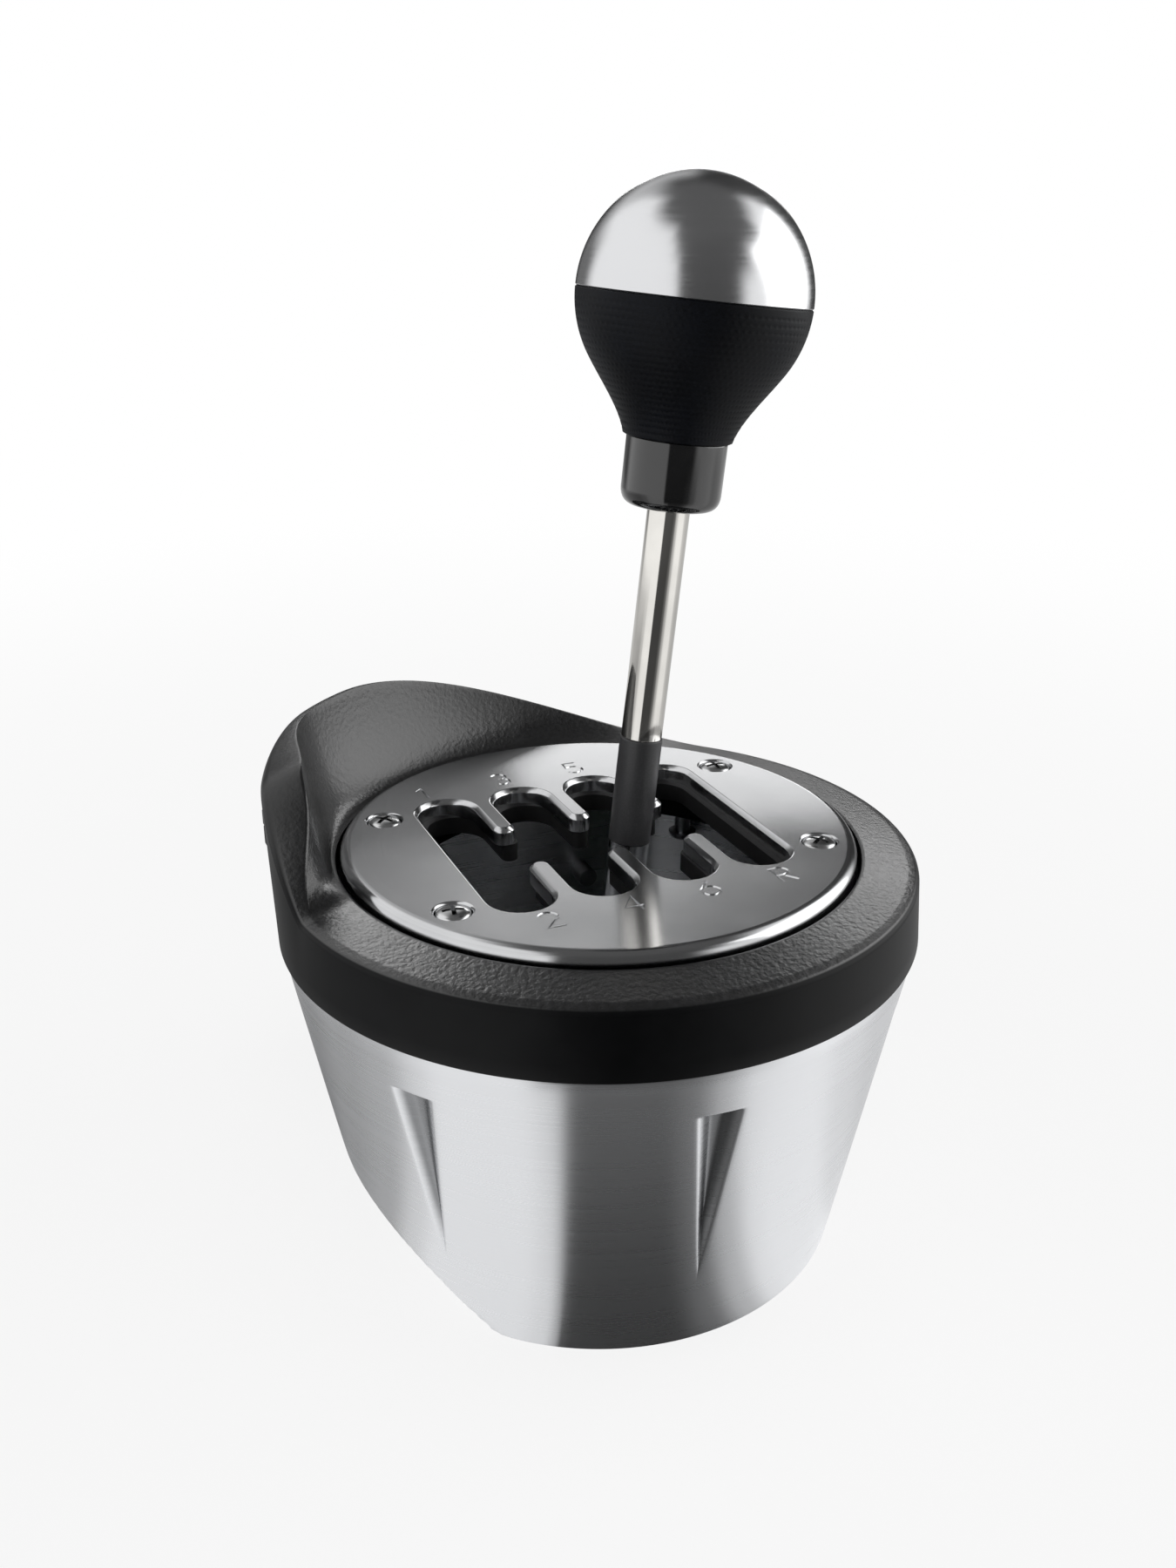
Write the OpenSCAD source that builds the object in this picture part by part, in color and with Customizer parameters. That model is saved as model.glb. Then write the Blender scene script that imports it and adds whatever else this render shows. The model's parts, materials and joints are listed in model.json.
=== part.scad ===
// Gear shifter for driving simulators: a seven-speed gate on a round desk-clamp body.
// Millimetres. The origin is the centre of the base, +Z is up, +Y points away from the driver.
// The lever stands in neutral on the line of the 5-6 slots.

/* [Gate] */
// Diameter of the metal gate plate
gate_d = 112; // [106:1:118]
// Thickness of the metal gate plate
gate_t = 4; // [3:0.5:5]
// Thickness of the plastic guide under the gate plate
guide_t = 4; // [3:0.5:6]
// Distance between neighbouring slots
slot_pitch = 18; // [17:0.5:19]
// Width of a slot
slot_w = 13; // [12.5:0.25:14]
// Distance from the neutral line to the end of a slot
slot_reach = 29.3; // [28:0.1:31]
// Half the width of the neutral channel
neutral_half = 8.65; // [7.5:0.05:10]
// Chamfer along the slot edges
slot_chamfer = 1; // [0.4:0.1:1.5]
// Rounding of the plate's outer edge
gate_round = 2.4; // [1:0.2:2.8]
// Distance of the gate screws from the centre
gate_screw_r = 47.8; // [46:0.1:49]
// Angle of the gate screws from the cross axis
gate_screw_angle = 30; // [24:1:36]

/* [Housing] */
// Height of the metal bucket
bucket_h = 75; // [68:1:84]
// Height from the bucket to the top of the gate plate
ring_h = 19; // [17:0.5:22]
// Distance from the edge of the gate plate to the outside of the band
ring_w = 14; // [12:0.5:17]
// Diameter of the bucket at its foot
foot_d = 110.4; // [102:0.2:114]
// Step between the band and the bucket under it
band_step = 0.6; // [0.3:0.1:1.5]
// Wall of the bucket
wall = 3; // [2.5:0.25:4]
// Distance from the centre to the bevel on the left of the foot
bevel_left = 40.2; // [38:0.2:44]
// Distance from the centre to the bevel on the right of the foot
bevel_right = 45; // [40:0.2:48]
// Slope of the bevels from the horizontal
bevel_angle = 48; // [44:1:54]
// Distance from the centre to the flat back
back_y = 56; // [54:0.5:60]
// Gap around the gate plate
gate_gap = 0.8; // [0.5:0.1:2]
// Height of the hood above the ring's shoulder
hood_h = 24; // [16:0.2:30]
// Number of flutes in the bucket's front
flute_count = 3; // [1:1:3]
// Angle between neighbouring flutes
flute_step = 52; // [44:1:58]
// Angle of the middle flute to the left of straight ahead
flute_turn = 3.7; // [-8:0.1:8]
// Distance from the bucket's rim down to the flutes
flute_drop = 10.5; // [5:0.5:14]
// Width of a flute at its top
flute_w = 9.4; // [6:0.2:12]
// Length of a flute
flute_l = 46; // [36:1:52]
// Depth of a flute
flute_depth = 2.2; // [1:0.1:2.4]

/* [Lever] */
// Height of the lever's pivot above the base
pivot_z = 24; // [22:0.5:26]
// Diameter of the lever's steel shaft
shaft_d = 9; // [8:0.2:9.2]
// Distance from the centre line at which the lever crosses the gate plate
rest_x = 7.6; // [7.6:0.1:9]
// Height of the black sleeve above the gate plate
sleeve_top = 20.5; // [14:0.5:30]
// Height of the knob's equator above the gate plate
knob_h = 111; // [100:1:125]
// Diameter of the knob
knob_d = 46.8; // [42:0.2:52]
// Length of the grip below the equator
grip_l = 27; // [25:0.5:31]
// Diameter of the grip's neck
neck_d = 22.2; // [20:0.2:26]
// Diameter of the collar under the grip
collar_d = 20.6; // [18:0.2:22]
// Length of the collar
collar_l = 14; // [10:0.5:18]

/* [Clamp] */
// Half width of the upper jaw
jaw_half = 56; // [44:1:62]
// Depth of the throat from the flat back to the end of the jaw
jaw_reach = 38; // [34:1:46]
// Thickness of the clamp's sheet steel
plate_t = 4; // [3:0.5:5]
// Thickness of the rubber pad on the upper jaw
pad_t = 6; // [3:0.5:8]
// Thickness of the lower jaw
lower_jaw_t = 6; // [5:0.5:8]
// Diameter of the clamp screws
clamp_screw_d = 10; // [8:0.5:11]
// Distance of each clamp screw from the centre line
clamp_screw_x = 32; // [28:1:36]
// Diameter of the clamp knobs
clamp_knob_d = 22; // [18:1:26]

/* [Base] */
// Thickness of the base plate
base_t = 6; // [5:0.5:8]
// Distance between the two threaded holes in the base
mount_span = 60; // [54:1:62]
// Tapping diameter of those holes, for an M6 screw
mount_d = 5; // [4.8:0.1:5.2]

/* [Hidden] */
$fn = 96;

// Small overlap for cuts, the play of a running fit and the play of a fixed fit
eps = 0.01;
run_fit = 0.04;
seat_fit = 0.02;
loose_fit = 0.2;
far = 400;

// Levels of the housing
body_h = bucket_h + ring_h;
gate_z = body_h - gate_t;
deck_z = gate_z - guide_t;
deck_t = 6;
shoulder_z = body_h - 3.8;
lip_z = body_h - 2.5;
gate_r = gate_d / 2;
recess_r = gate_r + gate_gap;
screw_land = 3.8;
deck_hole_r = gate_screw_r - screw_land;
band_r = gate_r + ring_w;
rim_r = band_r - band_step;
foot_r = foot_d / 2;
bevel_run = 1 / tan(bevel_angle);
function cone_r(z) = foot_r + (rim_r - foot_r) * z / bucket_h;

// Gate pattern: three teeth stand between the four slots
tooth_r = (slot_pitch - slot_w) / 2;
columns = [-1.5, -0.5, 0.5, 1.5];
teeth = [-1, 0, 1];
gate_arm = gate_z + gate_t / 2 - pivot_z;
guide_scale = (gate_z - guide_t / 2 - pivot_z) / gate_arm;
guide_play = 0.5;
tip_share = 1.06;
rest_tilt = atan(rest_x / gate_arm);

// Screw sizes: radius of the thread, radius and height of the head
m3 = [1.5, 3.6, 1.8];
m4 = [2, 3.5, 2.4];
m5 = [2.5, 4.5, 2.8];
gate_screw_angles = [gate_screw_angle, 180 - gate_screw_angle, 180 + gate_screw_angle, -gate_screw_angle];
gate_screw_l = gate_t + guide_t + deck_t - 2;
head_recess = 1.4;

// Tongue and groove between bucket and band, and the lugs for the screws that join them
tongue_r = band_r - 6.7;
tongue_t = 2.7;
tongue_h = 4;
lug_angles = [45, 135, 225, 315];
lug_r = band_r - 9.6;
lug_half = 5.5;
lug_t = 6;
lug_screw_l = 14;

// Flange inside the bucket's foot that the base plate screws to
flange_r = foot_r - 11.3;
flange_t = 5;
base_screw_r = foot_r - 7.3;
base_screw_angles = [60, 120, 240, 300];

// Lever mechanism
frame_t = 3;
frame_z = base_t + frame_t;
blind_z = 1.5;
frame_screw_at = [14, 22];
upright_t = 5;
upright_y = 31;
upright_half = 14;
frame_half_x = 20;
frame_end_y = upright_y + upright_t;
pin_r = 4;
bush_r = 6;
bush_flange = [8, 1.2];
cradle_half = [18.5, 28.5, 7];
cradle_in = [12.5, 23];
shift_pin_r = 3;
shift_bush_r = 5;
shift_flange = [6.5, 1.2];
hub_r = 8.5;
hub_half = cradle_in[0] - shift_flange[1] - 0.3;
hub_neck_r = 7.5;
hub_neck_h = 18;
shaft_r = shaft_d / 2;
sleeve_r = shaft_r + 0.1;
rod_r = shaft_r - 0.1;
spigot_r = 3;
magnet_r = 4;
magnet_t = 2.5;
block_y = frame_end_y;
block_t = 8;
block_x = [-8, 16];
block_half_z = 9;
block_slit = 1.2;
block_screw_x = 11;
board_t = 1.6;
sensor_half = 9;
chip_half = 3;
chip_t = 0.8;
part_x = 11.5;
part_w = 5;
part_t = 2.6;
spacer_l = 3.4;
board_half_x = 20;
board_z = [pivot_z - 12, pivot_z + 20];
spacer_x = 9;
spacer_z = [pivot_z - 9.5, pivot_z + 7];

// Distances along the lever from its pivot
gate_dist = (body_h - pivot_z) / cos(rest_tilt);
sleeve_lo = gate_dist - 3.5;
sleeve_hi = gate_dist + sleeve_top;
spigot_split = sleeve_hi - 5;
equator = gate_dist + knob_h;
collar_lo = equator - grip_l - collar_l;
rod_hi = equator - 8;
insert_r = 8;
insert_lo = equator - grip_l;
insert_hi = equator + 9;
knob_r = knob_d / 2;
neck_r = neck_d / 2;
collar_r = collar_d / 2;
collar_round = 3.5;

// Data socket in the right wall
socket_w = 14;
socket_hgt = 12;
socket_d = 12;
socket_z = 24;
socket_wall = 1.5;
socket_x = sqrt(pow(cone_r(socket_z), 2) - pow(socket_w / 2, 2)) - 0.3;

// Clamp
jaw_top = bucket_h - 3;
jaw_z = jaw_top - plate_t;
jaw_y = back_y + jaw_reach + plate_t;
jaw_corner = 8;
bracket_half = 40;
flange_half = bracket_half + 4;
flange_lo = 14;
flange_hi = flange_lo + plate_t + 1;
screw_y = back_y + plate_t + 10;
flange_y = screw_y + 9;
screw_r = clamp_screw_d / 2;
journal_r = screw_r - 1;
nut_r = screw_r + 3;
jaw_gap = 0.5;
lower_jaw_z = flange_hi + jaw_gap;
pad_y = screw_y + nut_r + 1;
lower_pad_t = 3;
clamp_knob_r = clamp_knob_d / 2;
clamp_knob_h = flange_lo - 2.5;
bracket_screws_at = [[-18, 32], [18, 32], [-18, 58], [18, 58]];
boss_r = 5;
boss_l = 7;

// A regular arc of points, for profiles that are turned
function arc(cx, cy, r, a0, a1, n) = [for (i = [0:n]) let (a = a0 + (a1 - a0) * i / n)
    [cx + r * cos(a), cy + r * sin(a)]];
function smooth(t) = let (c = min(max(t, 0), 1)) c * c * (3 - 2 * c);
function mix(a, b, t) = a + (b - a) * t;

// Hood: height of the rim above the shoulder at an angle around the body
hood_right = [42, 126];
hood_left = [168, 187];
hood_end_in = [138, 166];
hood_end_out = [172, 188];
hood_from = 26;
hood_turn = 160;
hood_to = 188;
// The left end is a slope that is nearly flat, with softened corners
end_soften = 0.25;
function end_fall(t) = let (c = min(max(t, 0), 1)) mix(c, smooth(c), end_soften);
function hood_share(a) = smooth((a - hood_right[0]) / (hood_right[1] - hood_right[0]))
    * (1 - end_fall((a - hood_left[0]) / (hood_left[1] - hood_left[0])));
// Share of the broad face on top of the hood's left end
function end_share(a) = smooth((a - hood_end_in[0]) / (hood_end_in[1] - hood_end_in[0]))
    * (1 - smooth((a - hood_end_out[0]) / (hood_end_out[1] - hood_end_out[0])));
hood_angles = concat(
    [for (i = [0:22]) mix(hood_from, hood_turn, i / 23)],
    [for (i = [0:10]) mix(hood_turn, hood_to, i / 11)],
    [for (i = [0:32]) mix(hood_to, 360 + hood_from, i / 33)]
);

// Section of the band and hood, at a share s of the hood's height and e of its end: [radius, height]
shoulder_draft = 0.8;
hood_flare = 1.2;
edge_r = 1.6;
edge_w = 2.4;
end_w = 6.4;
top_fall = 0.3;
wall_foot = 3;
bend_n = 7;
edge_n = 5;
function bend(a, c, b, t) = a * (1 - t) * (1 - t) + c * 2 * t * (1 - t) + b * t * t;
function ring_section(s, e) = let (
        lip = [recess_r + 0.8, lip_z],
        wall_r = band_r - shoulder_draft * (1 - s) + hood_flare * s,
        top_w = edge_w + end_w * e,
        crest = [wall_r - top_w, shoulder_z + hood_h * s],
        brow = [wall_r - edge_r, crest[1] - top_fall],
        straight = (lip + crest) / 2,
        hollow = [band_r - edge_w - wall_foot - 0.8 * end_w * e, lip_z + 0.8],
        knee = mix(straight, hollow, min(1, 2 * s))
    ) concat(
        [[recess_r - 1, bucket_h], [recess_r - 1, lip_z]],
        [for (i = [0:bend_n]) bend(lip, knee, crest, i / bend_n)],
        arc(brow[0], brow[1] - edge_r, edge_r, 90, 0, edge_n),
        [[band_r, bucket_h]]
    );

// Closed ring lofted through sections that are loops of the same number of points
module loft_ring(stations) {
    n = len(stations);
    m = len(stations[0]);
    polyhedron(
        points = [for (s = stations) for (p = s) p],
        faces = concat(
            [for (i = [0:n - 1]) for (j = [0:m - 1]) let (k = (j + 1) % m, q = (i + 1) % n)
                [i * m + j, q * m + j, q * m + k]],
            [for (i = [0:n - 1]) for (j = [0:m - 1]) let (k = (j + 1) % m, q = (i + 1) % n)
                [i * m + j, q * m + k, i * m + k]]
        )
    );
}

// Bucket envelope, drawn in by an inset, with its two bevels and flat back
module bucket_form(inset = 0, over = 0) {
    slope = (rim_r - foot_r) / bucket_h;
    shift = inset * sqrt(1 + bevel_run * bevel_run);
    difference() {
        translate([0, 0, -over])
            cylinder(
                h = bucket_h + 2 * over,
                r1 = foot_r - inset - slope * over,
                r2 = rim_r - inset + slope * over
            );
        for (side = [0, 1]) let (x = [bevel_right, bevel_left][side] - shift) mirror([side, 0, 0])
            translate([0, band_r, 0]) rotate([90, 0, 0]) linear_extrude(2 * band_r)
                polygon([[x - 10 * bevel_run, -10], [x + 60 * bevel_run, 60], [x + far, 60], [x + far, -10]]);
        translate([-far / 2, back_y - inset, -far / 4]) cube([far, far, far]);
    }
}

// Triangular flute: a frustum that is deepest along its top edge
module flute() {
    lean = atan((rim_r - foot_r) / bucket_h);
    top_z = bucket_h - flute_drop;
    out = 0.6;
    rotate([0, 0, -90]) translate([cone_r(top_z), 0, top_z]) rotate([0, lean, 0])
        polyhedron(
            points = [
                [out, flute_w / 2, 0], [out, -flute_w / 2, 0], [out, 0, -flute_l],
                [-flute_depth, flute_w * 0.24, -0.8], [-flute_depth, -flute_w * 0.24, -0.8],
                [-flute_depth * 0.55, 0, -flute_l * 0.64]
            ],
            faces = [[2, 1, 0], [3, 4, 5], [4, 3, 0], [1, 4, 0], [5, 4, 1], [2, 5, 1], [3, 5, 2], [0, 3, 2]]
        );
}

// Slots of the gate between two heights, growing from one width to another
module gate_cut(z0, z1, g0 = 0, g1 = 0, part = 1, play = 0) {
    w = slot_w * part / 2 + play;
    run = (slot_reach - slot_w / 2) * part;
    h = z1 - z0;
    tip = tooth_r * part - play * tip_share;
    mouth = (neutral_half + tooth_r) * part;
    translate([0, 0, z0]) difference() {
        union() {
            for (c = columns) translate([c * slot_pitch * part, 0, 0]) {
                for (s = [-1, 1]) translate([0, s * run, 0]) cylinder(h = h, r1 = w + g0, r2 = w + g1);
                translate([0, run, 0]) rotate([90, 0, 0]) linear_extrude(2 * run)
                    polygon([[-w - g0, 0], [w + g0, 0], [w + g1, h], [-w - g1, h]]);
            }
            translate([-1.5 * slot_pitch * part, -mouth, 0]) cube([3 * slot_pitch * part, 2 * mouth, h]);
        }
        for (c = teeth) for (s = [-1, 1]) translate([c * slot_pitch * part, s * mouth, -eps])
            cylinder(h = h + 2 * eps, r1 = tip - g0, r2 = tip - g1);
    }
}

module at_gate_screws() {
    for (a = gate_screw_angles) rotate([0, 0, a]) translate([gate_screw_r, 0, 0]) children();
}

module at_lugs() {
    for (a = lug_angles) rotate([0, 0, a]) translate([lug_r, 0, 0]) children();
}

module at_base_screws() {
    for (a = base_screw_angles) rotate([0, 0, a]) translate([base_screw_r, 0, 0]) children();
}

module at_frame_screws() {
    for (x = [-1, 1]) for (y = [-1, 1])
        translate([x * frame_screw_at[0], y * frame_screw_at[1], 0]) children();
}

module at_bracket_screws() {
    for (p = bracket_screws_at) translate([p[0], back_y, p[1]]) rotate([-90, 0, 0]) children();
}

module at_spacers() {
    for (x = [-1, 1]) for (z = spacer_z)
        translate([x * spacer_x, -frame_end_y, z]) rotate([90, 0, 0]) children();
}

// Frame of the lever at rest: its pivot, with Z along the lever
module on_lever() {
    translate([0, 0, pivot_z]) rotate([0, rest_tilt, 0]) children();
}

// Countersunk screw that hangs below its flat head at z = 0
module countersunk(size, length) {
    cylinder_r = size[0];
    translate([0, 0, -length]) cylinder(h = length, r = cylinder_r);
    translate([0, 0, -size[2]]) cylinder(h = size[2], r1 = cylinder_r, r2 = size[1]);
}

// Button-headed screw whose head stands on z = 0
module button(size, length) {
    translate([0, 0, -length]) cylinder(h = length, r = size[0]);
    difference() {
        rotate_extrude()
            polygon(concat([[0, 0]], arc(0, 0, size[1], 0, 90, 6) * [[1, 0], [0, size[2] / size[1]]]));
        translate([0, 0, size[2] * 0.4]) cylinder(h = size[2], r = size[1] * 0.45, $fn = 6);
    }
}

module lower_housing() {
    color("silver") difference() {
        union() {
            difference() {
                bucket_form();
                bucket_form(wall, 5);
            }
            intersection() {
                bucket_form(wall / 2);
                union() {
                    translate([0, 0, base_t]) difference() {
                        cylinder(h = flange_t, r = band_r);
                        translate([0, 0, -1]) cylinder(h = flange_t + 2, r = flange_r);
                    }
                    for (a = lug_angles) rotate([0, 0, a])
                        translate([lug_r - lug_half, -lug_half, bucket_h - lug_t])
                            cube([band_r, 2 * lug_half, lug_t]);
                    for (p = bracket_screws_at) translate([p[0], back_y, p[1]]) rotate([90, 0, 0])
                        cylinder(h = wall + boss_l, r = boss_r);
                    translate([0, 0, bucket_h - lug_t]) difference() {
                        cylinder(h = lug_t, r = band_r);
                        translate([0, 0, -1]) cylinder(h = lug_t + 2, r = tongue_r);
                    }
                }
            }
            intersection() {
                translate([0, 0, bucket_h - 1]) difference() {
                    cylinder(h = tongue_h + 1, r = tongue_r + tongue_t);
                    translate([0, 0, -1]) cylinder(h = tongue_h + 3, r = tongue_r);
                }
                translate([-far / 2, -far / 2, 0]) cube([far, far / 2 + back_y - wall / 2, far]);
            }
        }
        at_lugs() translate([0, 0, bucket_h - lug_t - 1]) cylinder(h = lug_t + 2, r = m4[0] + loose_fit);
        at_base_screws() translate([0, 0, base_t - 1]) cylinder(h = flange_t + 2, r = m4[0] + seat_fit);
        at_bracket_screws() translate([0, 0, -wall - boss_l - 1])
            cylinder(h = wall + boss_l + 2, r = m5[0] + seat_fit);
        translate([socket_x - socket_d, -socket_w / 2 - loose_fit, socket_z - loose_fit])
            cube([far / 4, socket_w + 2 * loose_fit, socket_hgt + 2 * loose_fit]);
        for (i = [0:flute_count - 1]) rotate([0, 0, (i - (flute_count - 1) / 2) * flute_step - flute_turn])
            flute();
    }
}

module upper_housing() {
    color("#1c1d20") difference() {
        union() {
            loft_ring([for (a = hood_angles)
                [for (p = ring_section(hood_share(a), end_share(a))) [p[0] * cos(a), p[0] * sin(a), p[1]]]]);
            translate([0, 0, deck_z - deck_t]) difference() {
                cylinder(h = deck_t, r = recess_r + 4);
                translate([0, 0, -1]) cylinder(h = deck_t + 2, r = deck_hole_r);
            }
        }
        translate([0, 0, deck_z]) cylinder(h = far, r = recess_r);
        translate([0, 0, bucket_h - 1]) difference() {
            cylinder(h = tongue_h + 1 + loose_fit, r = tongue_r + tongue_t + loose_fit);
            translate([0, 0, -1]) cylinder(h = tongue_h + 4, r = tongue_r - loose_fit);
        }
        at_gate_screws() translate([0, 0, deck_z - deck_t - 1])
            cylinder(h = deck_t + 2, r = m3[0] + seat_fit);
        at_lugs() translate([0, 0, bucket_h - 1]) cylinder(h = lug_screw_l - lug_t + 2, r = m4[0] + seat_fit);
    }
}

module gate_plate() {
    color("#c9cbce") difference() {
        translate([0, 0, gate_z]) rotate_extrude()
            polygon(concat(
                [[0, 0], [gate_r - 0.4, 0], [gate_r, 0.4]],
                arc(gate_r - gate_round, gate_t - gate_round, gate_round, 0, 90, 6),
                [[0, gate_t]]
            ));
        gate_cut(gate_z - 1, body_h - slot_chamfer);
        gate_cut(body_h - slot_chamfer - eps, body_h + eps, 0, slot_chamfer);
        at_gate_screws() {
            translate([0, 0, gate_z - 1]) cylinder(h = gate_t + 2, r = m3[0] + loose_fit);
            translate([0, 0, body_h - head_recess]) cylinder(h = head_recess + 1, r = m3[1] + loose_fit);
        }
    }
}

module gate_guide() {
    color("#101113") difference() {
        translate([0, 0, deck_z]) cylinder(h = guide_t, r = gate_r);
        gate_cut(deck_z - 1, gate_z + 1, part = guide_scale, play = guide_play);
        at_gate_screws() translate([0, 0, deck_z - 1]) cylinder(h = guide_t + 2, r = m3[0] + loose_fit);
    }
}

module gate_screws() {
    color("#b9bbbe") at_gate_screws() translate([0, 0, body_h - head_recess]) button(m3, gate_screw_l);
}

module base_plate() {
    color("#44474b") difference() {
        intersection() {
            bucket_form(wall + loose_fit, 1);
            translate([-far / 2, -far / 2, 0]) cube([far, far, base_t]);
        }
        for (x = [-1, 1]) translate([x * mount_span / 2, 0, -1]) cylinder(h = base_t + 2, r = mount_d / 2);
        at_base_screws() {
            translate([0, 0, -1]) cylinder(h = base_t + 2, r = m4[0] + loose_fit);
            translate([0, 0, -eps]) cylinder(h = m4[2] + 0.4, r1 = m4[1] + 0.4, r2 = m4[0] + loose_fit);
        }
        at_frame_screws() translate([0, 0, blind_z]) cylinder(h = base_t, r = m4[0] + seat_fit);
    }
}

module base_screws() {
    color("#8d9094") at_base_screws() translate([0, 0, 0.3]) mirror([0, 0, 1])
        countersunk(m4, base_t + flange_t - 0.6);
}

module housing_screws() {
    color("#8d9094") at_lugs() translate([0, 0, bucket_h - lug_t]) mirror([0, 0, 1]) button(m4, lug_screw_l);
}

module mechanism_frame() {
    color("#6a6e73") difference() {
        union() {
            translate([-frame_half_x, -frame_end_y, base_t])
                cube([2 * frame_half_x, 2 * frame_end_y, frame_t]);
            for (side = [0, 1]) mirror([0, side, 0]) translate([0, frame_end_y, 0]) rotate([90, 0, 0]) {
                translate([0, pivot_z, 0]) cylinder(h = upright_t, r = upright_half);
                translate([-upright_half, base_t, 0]) cube([2 * upright_half, pivot_z - base_t, upright_t]);
            }
        }
        translate([0, far / 4, pivot_z]) rotate([90, 0, 0]) cylinder(h = far / 2, r = bush_r + seat_fit);
        at_frame_screws() {
            translate([0, 0, base_t - 1]) cylinder(h = frame_t + 2, r = m4[0] + loose_fit);
            translate([0, 0, frame_z - m4[2] - 0.4])
                cylinder(h = m4[2] + 0.4 + eps, r1 = m4[0] + loose_fit, r2 = m4[1] + 0.4);
        }
        at_spacers() translate([0, 0, -upright_t]) cylinder(h = upright_t + 1, r = m3[0] + seat_fit);
    }
}

module frame_screws() {
    color("#8d9094") at_frame_screws() translate([0, 0, frame_z - 0.3])
        countersunk(m4, frame_z - 0.5 - blind_z);
}

module select_bushes() {
    color("#b08d57") for (side = [0, 1]) mirror([0, side, 0])
        translate([0, frame_end_y, pivot_z]) rotate([90, 0, 0]) difference() {
            union() {
                cylinder(h = upright_t, r = bush_r);
                translate([0, 0, upright_t]) cylinder(h = bush_flange[1], r = bush_flange[0]);
            }
            translate([0, 0, -1]) cylinder(h = upright_t + 4, r = pin_r + run_fit);
        }
}

module friction_block() {
    color("#26282b") translate([0, block_y, pivot_z]) difference() {
        translate([block_x[0], 0, -block_half_z]) cube([block_x[1] - block_x[0], block_t, 2 * block_half_z]);
        translate([0, -1, 0]) rotate([-90, 0, 0]) cylinder(h = block_t + 2, r = pin_r + run_fit);
        translate([0, -1, -block_slit / 2]) cube([block_x[1] + 1, block_t + 2, block_slit]);
        translate([block_screw_x, block_t / 2, -block_half_z - 1])
            cylinder(h = 2 * block_half_z + 2, r = m4[0] + seat_fit);
    }
}

module tension_screw() {
    color("#8d9094") translate([block_screw_x, block_y + block_t / 2, pivot_z + block_half_z])
        button(m4, 2 * block_half_z - 1);
}

module sensor_board() {
    color("#1f5a3a") translate([0, 0, frame_z]) {
        translate([-sensor_half, -sensor_half, 0]) cube([2 * sensor_half, 2 * sensor_half, board_t]);
        translate([-chip_half, -chip_half, board_t]) cube([2 * chip_half, 2 * chip_half, chip_t]);
    }
}

module control_board() {
    board_y = -frame_end_y - spacer_l;
    color("#1f5a3a") difference() {
        union() {
            translate([-board_half_x, board_y - board_t, board_z[0]])
                cube([2 * board_half_x, board_t, board_z[1] - board_z[0]]);
            translate([-2 * chip_half, board_y - board_t - 2 * chip_t, pivot_z - 1])
                cube([4 * chip_half, 2 * chip_t, 4 * chip_half]);
            for (x = [-1, 1])
                translate([x * part_x - part_w / 2, board_y - board_t - part_t, board_z[1] - 2 - part_w])
                    cube([part_w, part_t, part_w]);
        }
        at_spacers() translate([0, 0, -1]) cylinder(h = spacer_l + board_t + 2, r = m3[0] + loose_fit);
    }
}

module board_spacers() {
    color("#c8a45a") at_spacers() {
        cylinder(h = spacer_l, r = 3, $fn = 6);
        translate([0, 0, -upright_t + 1]) cylinder(h = upright_t + spacer_l + board_t, r = m3[0]);
        translate([0, 0, spacer_l + board_t]) cylinder(h = 1.2, r = 2.8);
    }
}

module data_socket() {
    color("#17181a") translate([socket_x - socket_d, -socket_w / 2, socket_z]) difference() {
        cube([socket_d, socket_w, socket_hgt]);
        translate([socket_wall, socket_wall, socket_wall])
            cube([socket_d, socket_w - 2 * socket_wall, socket_hgt - 2 * socket_wall]);
    }
}

module clamp_bracket() {
    color("#232529") difference() {
        union() {
            translate([-bracket_half, back_y, flange_lo])
                cube([2 * bracket_half, plate_t, jaw_top - flange_lo]);
            translate([-jaw_half, back_y, jaw_z]) cube([2 * jaw_half, jaw_y - back_y, plate_t]);
            translate([-flange_half, back_y, flange_lo])
                cube([2 * flange_half, flange_y - back_y, plate_t + 1]);
        }
        for (x = [-1, 1]) {
            translate([x * clamp_screw_x, screw_y, flange_lo - 1])
                cylinder(h = jaw_top, r = journal_r + run_fit);
            translate([x * jaw_half, jaw_y, jaw_z]) rotate([0, 0, 45])
                cube([jaw_corner, jaw_corner, 3 * plate_t], center = true);
        }
        at_bracket_screws() {
            translate([0, 0, -1]) cylinder(h = plate_t + 2, r = m5[0] + loose_fit);
            translate([0, 0, plate_t - m5[2] - 0.4])
                cylinder(h = m5[2] + 0.4 + eps, r1 = m5[0] + loose_fit, r2 = m5[1] + 0.4);
        }
    }
}

module bracket_screws() {
    color("#8d9094") at_bracket_screws() translate([0, 0, plate_t - 0.3])
        countersunk(m5, plate_t + wall + boss_l - 1.3);
}

module jaw_pad() {
    color("#151617") difference() {
        translate([-jaw_half, pad_y, jaw_z - pad_t]) cube([2 * jaw_half, jaw_y - pad_y, pad_t]);
        for (x = [-1, 1])
            translate([x * jaw_half, jaw_y, jaw_z - pad_t]) rotate([0, 0, 45])
                cube([jaw_corner, jaw_corner, 3 * pad_t], center = true);
    }
}

module select_cradle() {
    color("#7d8186") on_lever() difference() {
        translate(-cradle_half) cube(2 * cradle_half);
        translate([-cradle_in[0], -cradle_in[1], -cradle_half[2] - 1])
            cube([2 * cradle_in[0], 2 * cradle_in[1], 2 * cradle_half[2] + 2]);
        rotate([90, 0, 0]) cylinder(h = far, r = pin_r + seat_fit, center = true);
        rotate([0, 90, 0]) cylinder(h = far, r = shift_bush_r + seat_fit, center = true);
    }
}

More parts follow.
